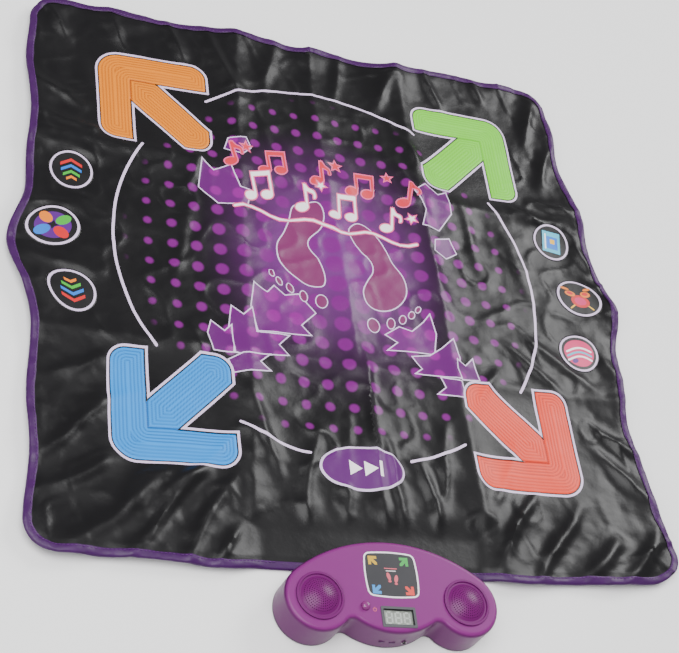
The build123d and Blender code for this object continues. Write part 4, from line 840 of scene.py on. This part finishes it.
def pad_fill(node):
    """The plan outline of a pad's raised part."""
    if node in arrow_pads:
        outline, corner = arrow_outline(node)
        return spaced(grown(outline, -arrow_border), 3.0), corner
    low, high = (corner[:2] for corner in box_of(node))
    middle, half = (low + high) / 2, (high - low) / 2 - flange
    steps = 72 if node == "start_pad" else 60
    return ellipse(*middle, half[0], half[1], 0.0, steps), middle


fills = {node: pad_fill(node) for node in [*arrow_pads, *round_pads, "start_pad"]}
windows = [grown(loop, window_gap) for loop, _ in fills.values()]

cover, _ = slab(
    "mat_top_sheet", mat_loop(sheet_inset), mat_prints(), sheet_grid["mat_top_sheet"],
    lambda p: mat_top - cover_thickness - hem_drop * hem(p), lambda p: mat_top - hem_drop * hem(p),
    FIELD, holes=windows,
)
foam_material = tinted("foam", rgb(214, 214, 208), 0.9, 0.08, 60, 2200, 0.3)
film_material = tinted("polyester_film", rgb(206, 206, 198), 0.25, 0.05, 20, 600, 0.05, Coat_Weight=0.3)
carbon_material = tinted("carbon_ink", rgb(34, 34, 36), 0.7, 0.1, 80, 2500, 0.15)
backing_material = woven("backing_fabric", rgb(44, 42, 46))
foam_holes = [grown(loop, foam_gap) for loop, _ in fills.values()]
foam, _ = slab(
    "spacer_sheet", mat_loop(foam_inset, 8), [], sheet_grid["spacer_sheet"],
    lambda p: foam_low + 0.9 * hem(p), lambda p: mat_top - cover_thickness - slack - 0.6 * hem(p),
    foam_material, holes=foam_holes,
)
film_sheet, _ = slab(
    "film_sheet", mat_loop(hem_inset, 8), [], sheet_grid["film_sheet"], *film_heights, film_material
)
backing, _ = slab(
    "mat_backing", mat_loop(sheet_inset), [], sheet_grid["mat_backing"],
    lambda p: hem_drop * hem(p), lambda p: cover_thickness + hem_drop * hem(p), backing_material,
)
track_edge = 0.007      # longest edge of the tracks' mesh, in metres


def tracks_piece():
    """The printed contacts and tracks, lying on the film wherever it lies."""
    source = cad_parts["contact_tracks"]
    mesh = source.data.copy()
    mesh.name = "track_layer"
    bm = bmesh.new()
    bm.from_mesh(mesh)
    bmesh.ops.triangulate(bm, faces=bm.faces)
    for _ in range(8):
        long = [e for e in bm.edges if e.calc_length() > track_edge]
        if not long:
            break
        bmesh.ops.subdivide_edges(bm, edges=long, cuts=1)
        bmesh.ops.triangulate(bm, faces=bm.faces)
    bm.to_mesh(mesh)
    bm.free()
    co = np.empty(len(mesh.vertices) * 3)
    mesh.vertices.foreach_get("co", co)
    co = co.reshape(-1, 3) / MM
    mesh.vertices.foreach_set("co", lay(co[:, :2], co[:, 2]).ravel())
    mesh.materials.clear()
    return object_from("track_layer", mesh, [carbon_material])


tracks = tracks_piece()


# ------------------------------------------------------------------ touch pads
def chevron(cx, cy, width, thick, up=1, rise=0.55):
    """A V with square ends that points up or down."""
    w, h = width / 2, width / 2 * rise
    points = [(-w, -h), (0, 0), (w, -h), (w, -h - thick), (0, -thick), (-w, -h - thick)]
    return np.array([(cx + x, cy + up * y) for x, y in points])


def chevrons(middle, up):
    """Four stacked chevrons of shrinking size, pointing up or down."""
    cx, cy = middle
    rows = [("red", 20, 34, 5.4), ("blue", 9.5, 32, 5.2), ("green", -1, 26, 5.0), ("orange", -11, 16, 4.6)]
    return [(ICON[ink], [chevron(cx, cy + up * y, width, thick, up)]) for ink, y, width, thick in rows]


def blobs(middle):
    """Four rounded petals in an X on purple, with a dark star in the middle."""
    cx, cy = middle
    out = [(ICON["purple"], [ellipse(cx, cy, 23, 23, 0, 36)])]
    for ink, sx, sy in (("orange", -1, 1), ("green", 1, 1), ("blue", -1, -1), ("red", 1, -1)):
        out.append((ICON[ink], [ellipse(cx + sx * 11.5, cy + sy * 11, 11, 7.6, sx * sy * 0.78, 26)]))
    out.append((PAD_BLACK, [star(cx, cy, 8, 4, 0.0)]))
    return out


def card(middle):
    """A tilted card with a small square and a few lines."""
    cx, cy = middle
    c, s = math.cos(-0.16), math.sin(-0.16)

    def box(x, y, w, h):
        corners = np.array([(x - w, y - h), (x + w, y - h), (x + w, y + h), (x - w, y + h)])
        px, py = corners[:, 0], corners[:, 1]
        return np.column_stack([cx + px * c - py * s, cy + px * s + py * c])

    out = [(ICON["cyan"], [box(0, 0, 17, 20)]), (ICON["blue"], [box(2, -1, 11, 12)])]
    out += [(ICON["yellow"], [box(3, 2, 4.5, 4.5)]), (WHITE, [box(-11, 0, 1.4, 15)])]
    return out


def drums(middle):
    """A small drum kit: three drums, two cymbals and crossed legs."""
    cx, cy = middle
    out = [(ICON["yellow"], [band([(cx - 17, cy - 20), (cx + 13, cy + 8)], 2.4)])]
    out.append((ICON["yellow"], [band([(cx + 17, cy - 20), (cx - 13, cy + 8)], 2.4)]))
    out.append((ICON["red"], [ellipse(cx, cy - 6, 14, 12, 0, 30)]))
    out.append((ICON["pink"], [ellipse(cx, cy - 6, 9, 7.5, 0, 26)]))
    for side in (-1, 1):
        out.append((ICON["orange"], [ellipse(cx + side * 12, cy + 8, 8, 5.5, side * 0.2, 24)]))
        out.append((ICON["red"], [ellipse(cx + side * 12, cy + 9, 5, 3, side * 0.2, 20)]))
        out.append((ICON["orange"], [ellipse(cx + side * 18, cy + 18, 7, 2.4, side * 0.3, 20)]))
    return out


def waves(middle):
    """A pink disc crossed by curved stripes."""
    cx, cy = middle
    out = [(ICON["pink"], [ellipse(cx, cy, 26, 25, 0, 40)])]
    for offset, ink in ((10, WHITE), (2, ICON["cyan"]), (-6, WHITE)):
        line = [(cx - 21 + t * 4.2, cy + offset - 6 + 6.5 * math.sin(0.35 * t - 0.4)) for t in range(11)]
        out.append((ink, [band(line, 3.4)]))
    out.append((ICON["purple"], [ellipse(cx - 9, cy - 15, 6, 4, 0.5, 20)]))
    return out


round_icons = {
    "left_back_round_pad": lambda middle: chevrons(middle, 1),
    "left_middle_round_pad": blobs,
    "left_front_round_pad": lambda middle: chevrons(middle, -1),
    "right_back_round_pad": card,
    "right_middle_round_pad": drums,
    "right_front_round_pad": waves,
}


def split_lines(node, corner):
    """The groove between an arrow's head and tail, as two segments from its inner corner."""
    side_x, side_y = arrow_pads[node]
    near, far = arrow_arm - arrow_border + 1.25, arrow_size
    at = [corner - np.array([side_x * u, side_y * v]) for u, v in ((near, near), (near, far), (far, near))]
    return [(at[0], at[1]), (at[0], at[2])]


arrow_grid, pad_grid = 1.9, 3.0
split_groove = 1.0      # half-width of the groove between head and tail
groove_pitch = 5.0
groove_depth = 0.55


def pad_print(node, middle):
    """What is printed on a pad, and its ground colour."""
    if node in arrow_pads:
        return [], ARROW_INK[node]
    cx, cy = middle
    if node in round_pads:
        rim = [(LILAC, [ellipse(cx, cy, 33.6, 33.6, 0, 60)])]
        return rim + [(PAD_BLACK, [ellipse(cx, cy, 30.2, 30.2, 0, 56)])] + round_icons[node](middle), PAD_BLACK
    prints = [(PAD_PURPLE, [ellipse(cx, cy, 59.5, 30.5, 0, 64)])]
    half, length = 11.5, 19
    for left in (cx - 20, cx + 2):
        prints.append((WHITE, [np.array([(left, cy + half), (left + length, cy), (left, cy - half)])]))
    bar = [(cx + 23, cy - half), (cx + 28, cy - half), (cx + 28, cy + half), (cx + 23, cy + half)]
    prints.append((WHITE, [np.array(bar)]))
    return prints, LILAC


def pad_piece(node, loop, middle):
    """A soft pad: rounded at its edge, a little crowned, and grooved where it is embossed."""
    arrow = node in arrow_pads
    segments = split_lines(node, middle) if arrow else []

    def distances(plan):
        """Distance to the pad's edge, and to the groove between an arrow's head and tail."""
        edge, split = depth_in(loop, plan), np.full(len(plan), 1e3)
        for a, b in segments:
            split = np.minimum(split, to_segment(plan[:, 0], plan[:, 1], *a, *b)[0])
        return edge, split

    def grooves(edge, split):
        """The embossed rows: one at the bottom of a groove, zero on a ridge, and fading at the edge."""
        near = np.minimum(edge, np.maximum(split - split_groove, 0))
        return 0.5 - 0.5 * np.cos(2 * math.pi * (near / groove_pitch - 0.5)), ramp(near, 1.5, 3.5)

    def pad_height(plan):
        edge, split = distances(plan)
        height = mat_top + pad_raise - 1.1 * np.exp(-edge / 1.7) + 0.6 * ramp(edge, 0, 22)
        if arrow:
            groove, fade = grooves(edge, split)
            height = height - groove_depth * groove**2 * fade
            height = height - 1.5 * np.exp(-((split / 1.5) ** 2))
        return height

    prints, base = pad_print(node, middle)
    grid = arrow_grid if arrow else pad_grid
    obj, plan = slab(f"{node}_skin", loop, prints, grid, pad_low + pad_ease, pad_height, base)
    if arrow:
        edge, split = distances(plan)
        groove, fade = grooves(edge, split)
        # the pad's colour is drawn darker fully along the split between head and tail, and towards the bottom
        # of each embossed groove
        ink = 1 - ramp(split, 0.8, 2.0) + 0.85 * groove**3 * fade
        float_attribute(obj, "groove", np.clip(ink, 0, 1))
    return obj


pad_objects = {node: pad_piece(node, *fill) for node, fill in fills.items()}


# ------------------------------------------------------------------ bound edge
def frame_along(loop):
    """Inward unit normals and the distance travelled along a closed loop."""
    ahead = np.roll(loop, -1, axis=0) - np.roll(loop, 1, axis=0)
    ahead /= np.linalg.norm(ahead, axis=1, keepdims=True)
    steps = np.linalg.norm(np.roll(loop, -1, axis=0) - loop, axis=1)
    travelled = np.concatenate([[0], np.cumsum(steps)[:-1]])
    return np.column_stack([-ahead[:, 1], ahead[:, 0]]), travelled


binding_section = [
    (11.2, 4.25), (11.5, 4.7), (10.9, 5.0), (8.0, 5.05), (3.5, 4.95), (1.0, 4.3), (0.0, 2.6), (0.9, 0.8),
    (3.0, 0.05), (8.0, 0.0), (12.0, 0.0), (12.2, 0.3), (11.8, 0.75), (7.0, 0.8), (3.0, 0.9), (1.6, 1.7),
    (1.2, 2.6), (1.6, 3.4), (3.4, 4.1), (7.0, 4.2),
]
edge_step = 3.2
edge_loop = mat_loop(0, edge_step)
inward, travelled = frame_along(edge_loop)
console_reach = 140     # half the width that the console covers


def wobble(distance, wave, seed):
    """A gentle irregular wave along the edge, between -1 and 1."""
    return (
        np.sin(distance / wave + seed)
        + 0.6 * np.sin(distance / (wave * 0.57) + 2.3 * seed)
        + 0.4 * np.sin(distance / (wave * 0.31) + 4.1 * seed)
    ) / 2.0


def binding_piece():
    """The doubled-over tape that binds the edge, puckered by its stitching."""
    rings = []
    pucker = wobble(travelled, 4.2, 1.0)
    width = 1 + 0.07 * wobble(travelled, 19.0, 2.0) + 0.03 * wobble(travelled, 5.0, 3.0)
    beside = ramp(np.abs(edge_loop[:, 0]), console_reach, console_reach + 30)
    behind = ramp(edge_loop[:, 1], mat_low[1] + 60, mat_low[1] + 90)
    calm = np.maximum(beside, behind)
    for inset, z in binding_section:
        plan = edge_loop + inward * (inset * np.where(calm > 0, width, 1))[:, None]
        outer = z > 2.6
        puff = 0.5 * pucker * calm * (1 if outer else 0) * math.sin(math.pi * min(inset, 12) / 12)
        top = 0.55 * calm * (1 if z > 4.2 and inset > 1 else 0)
        rings.append(lay(plan, np.maximum(z + puff + top, 0)))
    count, sides = len(edge_loop), len(rings)
    points = np.stack(rings, axis=1).reshape(-1, 3)
    faces = []
    for i in range(count):
        j = (i + 1) % count
        for k in range(sides):
            m = (k + 1) % sides
            faces.append([i * sides + k, i * sides + m, j * sides + m, j * sides + k])
    mesh = bpy.data.meshes.new("mat_binding")
    mesh.from_pydata(points.tolist(), [], faces)
    finish_mesh(mesh, None, 60)
    return object_from("mat_binding", mesh, [tape_material()])


def tape_material():
    """Glossy coated tape in deep purple."""
    n = Nodes("binding_tape")
    n.link(n.mix(n.noise(70.0), rgb(46, 5, 62), rgb(66, 12, 84)), n.shader.inputs["Base Color"])
    ribs = n.bump(n.noise(1600.0, 2), 0.2, 0.0003)
    n.link(n.bump(n.noise(160.0, 4), 0.4, 0.0012, ribs), n.shader.inputs["Normal"])
    n.set(Roughness=0.42, Specular_IOR_Level=0.35)
    return n.material


def stitches_piece():
    """One row of lockstitches along the tape's inner edge, on the upper face."""
    pitch, length, thread = 5.2, 3.4, 0.36
    row_inset, row_height = 9.6, 5.95
    total = travelled[-1] + np.linalg.norm(edge_loop[0] - edge_loop[-1])
    starts = np.arange(0, total - pitch, pitch)
    sides = 6
    points, faces = [], []
    closed = np.vstack([edge_loop, edge_loop[:1]])
    along = np.append(travelled, total)
    for s in starts:
        rows = []
        for t, depth in ((0.0, -0.7), (0.12, 0.0), (0.5, 0.25), (0.88, 0.0), (1.0, -0.7)):
            d = s + t * length
            x, y = np.interp(d, along, closed[:, 0]), np.interp(d, along, closed[:, 1])
            i = min(int(np.searchsorted(along, d)), len(edge_loop) - 1)
            rows.append((np.array([x, y]) + inward[i] * row_inset, depth, inward[i]))
        if abs(rows[2][0][0]) < console_reach and rows[2][0][1] < mat_low[1] + 60:
            continue
        first = len(points)
        for plan, depth, normal in rows:
            for k in range(sides):
                angle = 2 * math.pi * k / sides
                offset = normal * thread * math.cos(angle)
                points.append((*(plan + offset), row_height + depth + thread * math.sin(angle)))
        for r in range(len(rows) - 1):
            for k in range(sides):
                m = (k + 1) % sides
                a = first + r * sides
                faces.append([a + k, a + m, a + sides + m, a + sides + k])
        faces.append([first + k for k in reversed(range(sides))])
        last = first + (len(rows) - 1) * sides
        faces.append([last + k for k in range(sides)])
    points = np.array(points)
    mesh = bpy.data.meshes.new("binding_stitches")
    mesh.from_pydata(lay(points[:, :2], points[:, 2]).tolist(), [], faces)
    finish_mesh(mesh, None, 60)
    thread_material = tinted("thread", rgb(96, 36, 120), 0.55, 0.15, 200, 3000, 0.3)
    return object_from("binding_stitches", mesh, [thread_material])


binding = binding_piece()
stitches = stitches_piece()


# ------------------------------------------------------------------ prints on the console
panel_low, panel_high = box_of("indicator_panel")
panel_centre = (panel_low[:2] + panel_high[:2]) / 2
ink_low, ink_high = 0.005, 0.06


def small_arrow(cx, cy, sx, sy, size):
    """A little corner arrow like the ones on the mat."""
    near, far, half = size * 0.33, size, size * 0.26
    uv = [(0, 0), (far, 0), (far, near), (near + half, near), (far, far - half), (far, far), (far - half, far),
          (near, near + half), (near, far), (0, far)]
    return np.array([(cx + sx * (size / 2 - u), cy + sy * (size / 2 - v)) for u, v in uv])


def console_print(name, groups, surface):
    """Small inks on a flat face of the console, one piece."""
    parts = []
    low, high = surface + ink_low, surface + ink_high
    for index, (material, loop) in enumerate(groups):
        obj, _ = slab(f"{name}_{index}", spaced(loop, 2.0), [], 4.0, low, high, material, laid=False)
        parts.append(obj)
    with bpy.context.temp_override(active_object=parts[0], selected_editable_objects=parts, object=parts[0]):
        bpy.ops.object.join()
    parts[0].name = name
    return parts[0]


ink = {
    "yellow": vinyl("label_yellow", rgb(196, 158, 40)),
    "green": vinyl("label_green", rgb(60, 160, 74)),
    "blue": vinyl("label_blue", rgb(56, 140, 208)),
    "red": vinyl("label_red", rgb(214, 66, 60)),
    "foot": vinyl("label_foot", rgb(206, 90, 106)),
    "pale": vinyl("label_pale", rgb(206, 200, 204)),
}
px, py = panel_centre
label = [
    (ink["yellow"], small_arrow(px - 24, py + 19, -1, 1, 12)),
    (ink["green"], small_arrow(px + 20, py + 19, 1, 1, 12)),
    (ink["blue"], small_arrow(px - 23, py - 21, -1, -1, 12)),
    (ink["red"], small_arrow(px + 23, py - 21, 1, -1, 12)),
]
for side in (-1, 1):
    label.append((ink["foot"], ellipse(px + 1 + side * 5, py - 4 - side * 1.5, 2.6, 5.6, -side * 0.25, 20)))
    label.append((ink["foot"], ellipse(px + 1 + side * 4.2, py - 10.6 - side * 1.5, 2.3, 1.5, 0, 16)))
for index, (offset, half) in enumerate(((8.0, 9), (4.6, 7))):
    bar = np.array([(px - half, py + offset), (px + half, py + offset), (px + half, py + offset + 1.3),
                    (px - half, py + offset + 1.3)])
    label.append((ink["pale" if index else "foot"], bar))
panel_ink = console_print("panel_print", label, panel_high[2])

button_low, button_high = box_of("power_button")
mark = np.array([button_high[0] + 5.5, (button_low[1] + button_high[1]) / 2 - 4.0])
angles = np.radians(np.linspace(125, 415, 15))
arc = mark + 2.3 * np.column_stack([np.cos(angles), np.sin(angles)])
power_mark = console_print("power_print", [
    (ink["foot"], band(arc, 0.7)),
    (ink["foot"], band([mark + (0, 0.6), mark + (0, 3.0)], 0.7)),
], shell_top)


# ------------------------------------------------------------------ finishes of the CAD pieces
def painted_light_shell(name, top, painted_shade_wall, rough, split=0.72):
    """Satin moulded plastic with painted light: its top face is painted a lighter tone and its walls a darker
    one, chosen by which way each face looks, in place of real light and shade.
    """
    n = Nodes(name)
    split_normal = n.add("ShaderNodeSeparateXYZ")
    n.link(n.add("ShaderNodeNewGeometry").outputs["Normal"], split_normal.inputs[0])
    # painted light: faces that look up get the lighter top colour, faces that look sideways the darker wall
    # colour
    up = n.rise(split_normal.outputs[2], split - 0.2, split + 0.2)
    cloud = n.mix(n.noise(22.0), shade(top, 0.93), top)
    n.link(n.mix(up, painted_shade_wall, cloud), n.shader.inputs["Base Color"])
    n.rough(n.noise(90.0, 5), rough - 0.06, rough + 0.08)
    fine = n.bump(n.noise(2600.0, 2), 0.08, 0.0002)
    n.link(n.bump(n.noise(120.0, 3), 0.05, 0.0005, fine), n.shader.inputs["Normal"])
    n.set(Specular_IOR_Level=0.28)
    return n.material


def glass(name):
    """A clear moulded window."""
    n = Nodes(name)
    n.link(n.bump(n.noise(60.0), 0.03, 0.0002), n.shader.inputs["Normal"])
    n.link(n.mix(n.noise(30.0), rgb(238, 240, 238), rgb(250, 252, 250)), n.shader.inputs["Base Color"])
    n.set(Roughness=0.04, IOR=1.49, Transmission_Weight=1.0)
    return n.material


# painted light on the console shell: a lit purple for the top faces and a shaded purple for the walls
purple_painted_lit_top, purple_painted_shade_wall = rgb(118, 34, 110), rgb(84, 4, 80)
finishes = {
    "console_shell": painted_light_shell("shell_plastic", purple_painted_lit_top, purple_painted_shade_wall, 0.36),
    # the grilles get painted light too: a lighter colour on their top faces and a darker one on their walls
    "left_grille": painted_light_shell("grille_plastic", rgb(100, 8, 92), rgb(78, 6, 74), 0.34, 0.5),
    "console_base": tinted("base_plastic", rgb(60, 24, 62), 0.55, 0.1, 30, 1500, 0.2),
    "rubber_feet": tinted("foot_rubber", rgb(40, 38, 40), 0.8, 0.1, 60, 1800, 0.2),
    "panel_trim": tinted("trim_white", rgb(246, 240, 248), 0.32, 0.03, 20, 1500, 0.04, Coat_Weight=0.2),
    "indicator_panel": tinted("panel_dark", rgb(46, 46, 50), 0.36, 0.08, 26, 1500, 0.04,
                              Specular_IOR_Level=0.35),
    "indicator_lamps": tinted("lamp_resin", rgb(232, 232, 224), 0.15, 0.03, 60, 900, 0.03,
                              Transmission_Weight=0.6),
    "display_bezel": tinted("bezel_dark", rgb(66, 66, 72), 0.5, 0.1, 40, 1500, 0.12),
    "display_window": glass("clear_window"),
    "display_module": tinted("display_grey", rgb(184, 188, 182), 0.4, 0.05, 30, 1200, 0.04, 0.15),
    "display_digits": tinted("digit_ink", rgb(238, 240, 238), 0.5, 0.03, 60, 900, 0.03),
    "power_button": tinted("button_plastic", rgb(120, 34, 106), 0.22, 0.08, 60, 1500, 0.05, Coat_Weight=0.4),
    "left_key": tinted("key_rubber", rgb(72, 22, 74), 0.6, 0.1, 60, 1800, 0.15),
    "socket_nut": tinted("socket_chrome", rgb(212, 210, 208), 0.15, 0.04, 60, 1800, 0.05, 1.0),
    "main_board": tinted("circuit_board", rgb(24, 92, 52), 0.4, 0.12, 90, 1500, 0.12),
    "tail_connector": tinted("connector_white", rgb(226, 222, 210), 0.5, 0.05, 60, 1500, 0.08),
    "battery_cells": tinted("cell_jacket", rgb(52, 62, 74), 0.3, 0.2, 90, 900, 0.03, Coat_Weight=0.3),
    "plated": tinted("plated_steel", rgb(176, 176, 170), 0.32, 0.08, 80, 2200, 0.1, 1.0),
    "black": tinted("part_black", rgb(34, 34, 36), 0.55, 0.1, 60, 1500, 0.12),
    "paper": tinted("cone_paper", rgb(40, 38, 38), 0.85, 0.15, 90, 2200, 0.35),
    "ferrite": tinted("ferrite", rgb(62, 62, 66), 0.6, 0.12, 90, 1800, 0.2),
    "lead": tinted("lead_insulation", rgb(150, 40, 36), 0.45, 0.3, 70, 900, 0.05),
}
same_finish = {
    "left_grille": ["left_grille", "right_grille"],
    "console_base": ["console_base", "battery_door", "clamp_bars"],
    "left_key": ["left_key", "right_key"],
    "main_board": ["main_board", "key_board"],
    "plated": ["left_speaker_frame", "right_speaker_frame", "speaker_screws", "board_screws", "door_screws",
               "clamp_screws", "case_screws", "battery_contacts", "battery_springs"],
    "black": ["power_switch", "key_switches", "headphone_socket", "board_parts"],
    "paper": ["left_speaker_cone", "right_speaker_cone"],
    "ferrite": ["left_speaker_magnet", "right_speaker_magnet"],
    "lead": ["internal_leads"],
}
finish_of = {node: material for key, material in finishes.items() for node in same_finish.get(key, [key])}
finish_of |= {"mat_tongues": backing_material, "cable_tail": film_material}
for node, material in finish_of.items():
    for material_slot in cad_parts[node].material_slots:
        material_slot.material = material


# ------------------------------------------------------------------ what rides on what
def settle(obj, body, node):
    """Rides a new piece on a body, in place of a CAD node where there is one."""
    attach(obj, body)
    if node:
        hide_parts(node)


for obj, node, slot in (
    (cover, "top_cover", "mat_vinyl"), (foam, "foam_spacer", "spacer_foam"),
    (film_sheet, "lower_film", "contact_film"), (backing, "bottom_cover", "backing_fabric"),
    (tracks, "contact_tracks", "carbon_ink"), (binding, "edge_binding", "binding_tape"),
    (stitches, None, "binding_tape"), (panel_ink, None, "panel_dark"), (power_mark, None, "panel_dark"),
):
    settle(obj, BODY, node)
for node, obj in pad_objects.items():
    settle(obj, node, node)


# ------------------------------------------------------------------ floor, light and camera
def floor():
    """A plain pale studio floor."""
    mesh = bpy.data.meshes.new("studio_floor")
    size, drop = 6.0, 0.0005
    corners = [(-size, -size, 0), (size, -size, 0), (size, size, 0), (-size, size, 0)]
    mesh.from_pydata(corners, [], [[0, 1, 2, 3]])
    n = Nodes("studio_floor")
    n.link(n.mix(n.noise(1.2), (0.95, 0.95, 0.955, 1), (0.97, 0.97, 0.97, 1)), n.shader.inputs["Base Color"])
    n.set(Roughness=0.8)
    obj = object_from("studio_floor", mesh, [n.material])
    obj.location.z = -drop


def soft_light(name, place, target, size, power):
    """A large soft area light that faces a point."""
    data = bpy.data.lights.new(name, "AREA")
    data.shape = "RECTANGLE"
    data.size, data.size_y = size
    data.energy = power
    obj = bpy.data.objects.new(name, data)
    obj.location = place
    obj.rotation_euler = (Vector(target) - Vector(place)).to_track_quat("-Z", "Y").to_euler()
    bpy.context.scene.collection.objects.link(obj)


floor()
soft_light("key_light", (2.4, 1.5, 2.2), (0.1, 0.1, 0), (1.5, 1.5), 80)
soft_light("top_light", (-0.9, -0.5, 3.2), (0, 0, 0), (2.6, 2.6), 150)
soft_light("fill_light", (-2.6, -1.6, 1.8), (0, 0, 0), (2.2, 1.6), 30)
world = bpy.data.worlds.new("studio")
bpy.context.scene.world = world
world.use_nodes = True
sky = world.node_tree.nodes["Background"].inputs
sky["Color"].default_value = (1, 1, 1, 1)
sky["Strength"].default_value = 0.45

camera_data = bpy.data.cameras.new("camera")
camera_data.lens = 79.44
camera_data.sensor_width = 36.0
camera = bpy.data.objects.new("camera", camera_data)
right = Vector((0.92365, -0.11435, 0.36578))
up = Vector((-0.11278, 0.83108, 0.54460))
back = Vector((-0.3663, -0.5443, 0.7547))
rotation = Matrix((right, up, back)).transposed()
camera.matrix_world = Matrix.Translation((-0.79691, -1.20750, 1.64104)) @ rotation.to_4x4()
bpy.context.scene.collection.objects.link(camera)
bpy.context.scene.camera = camera
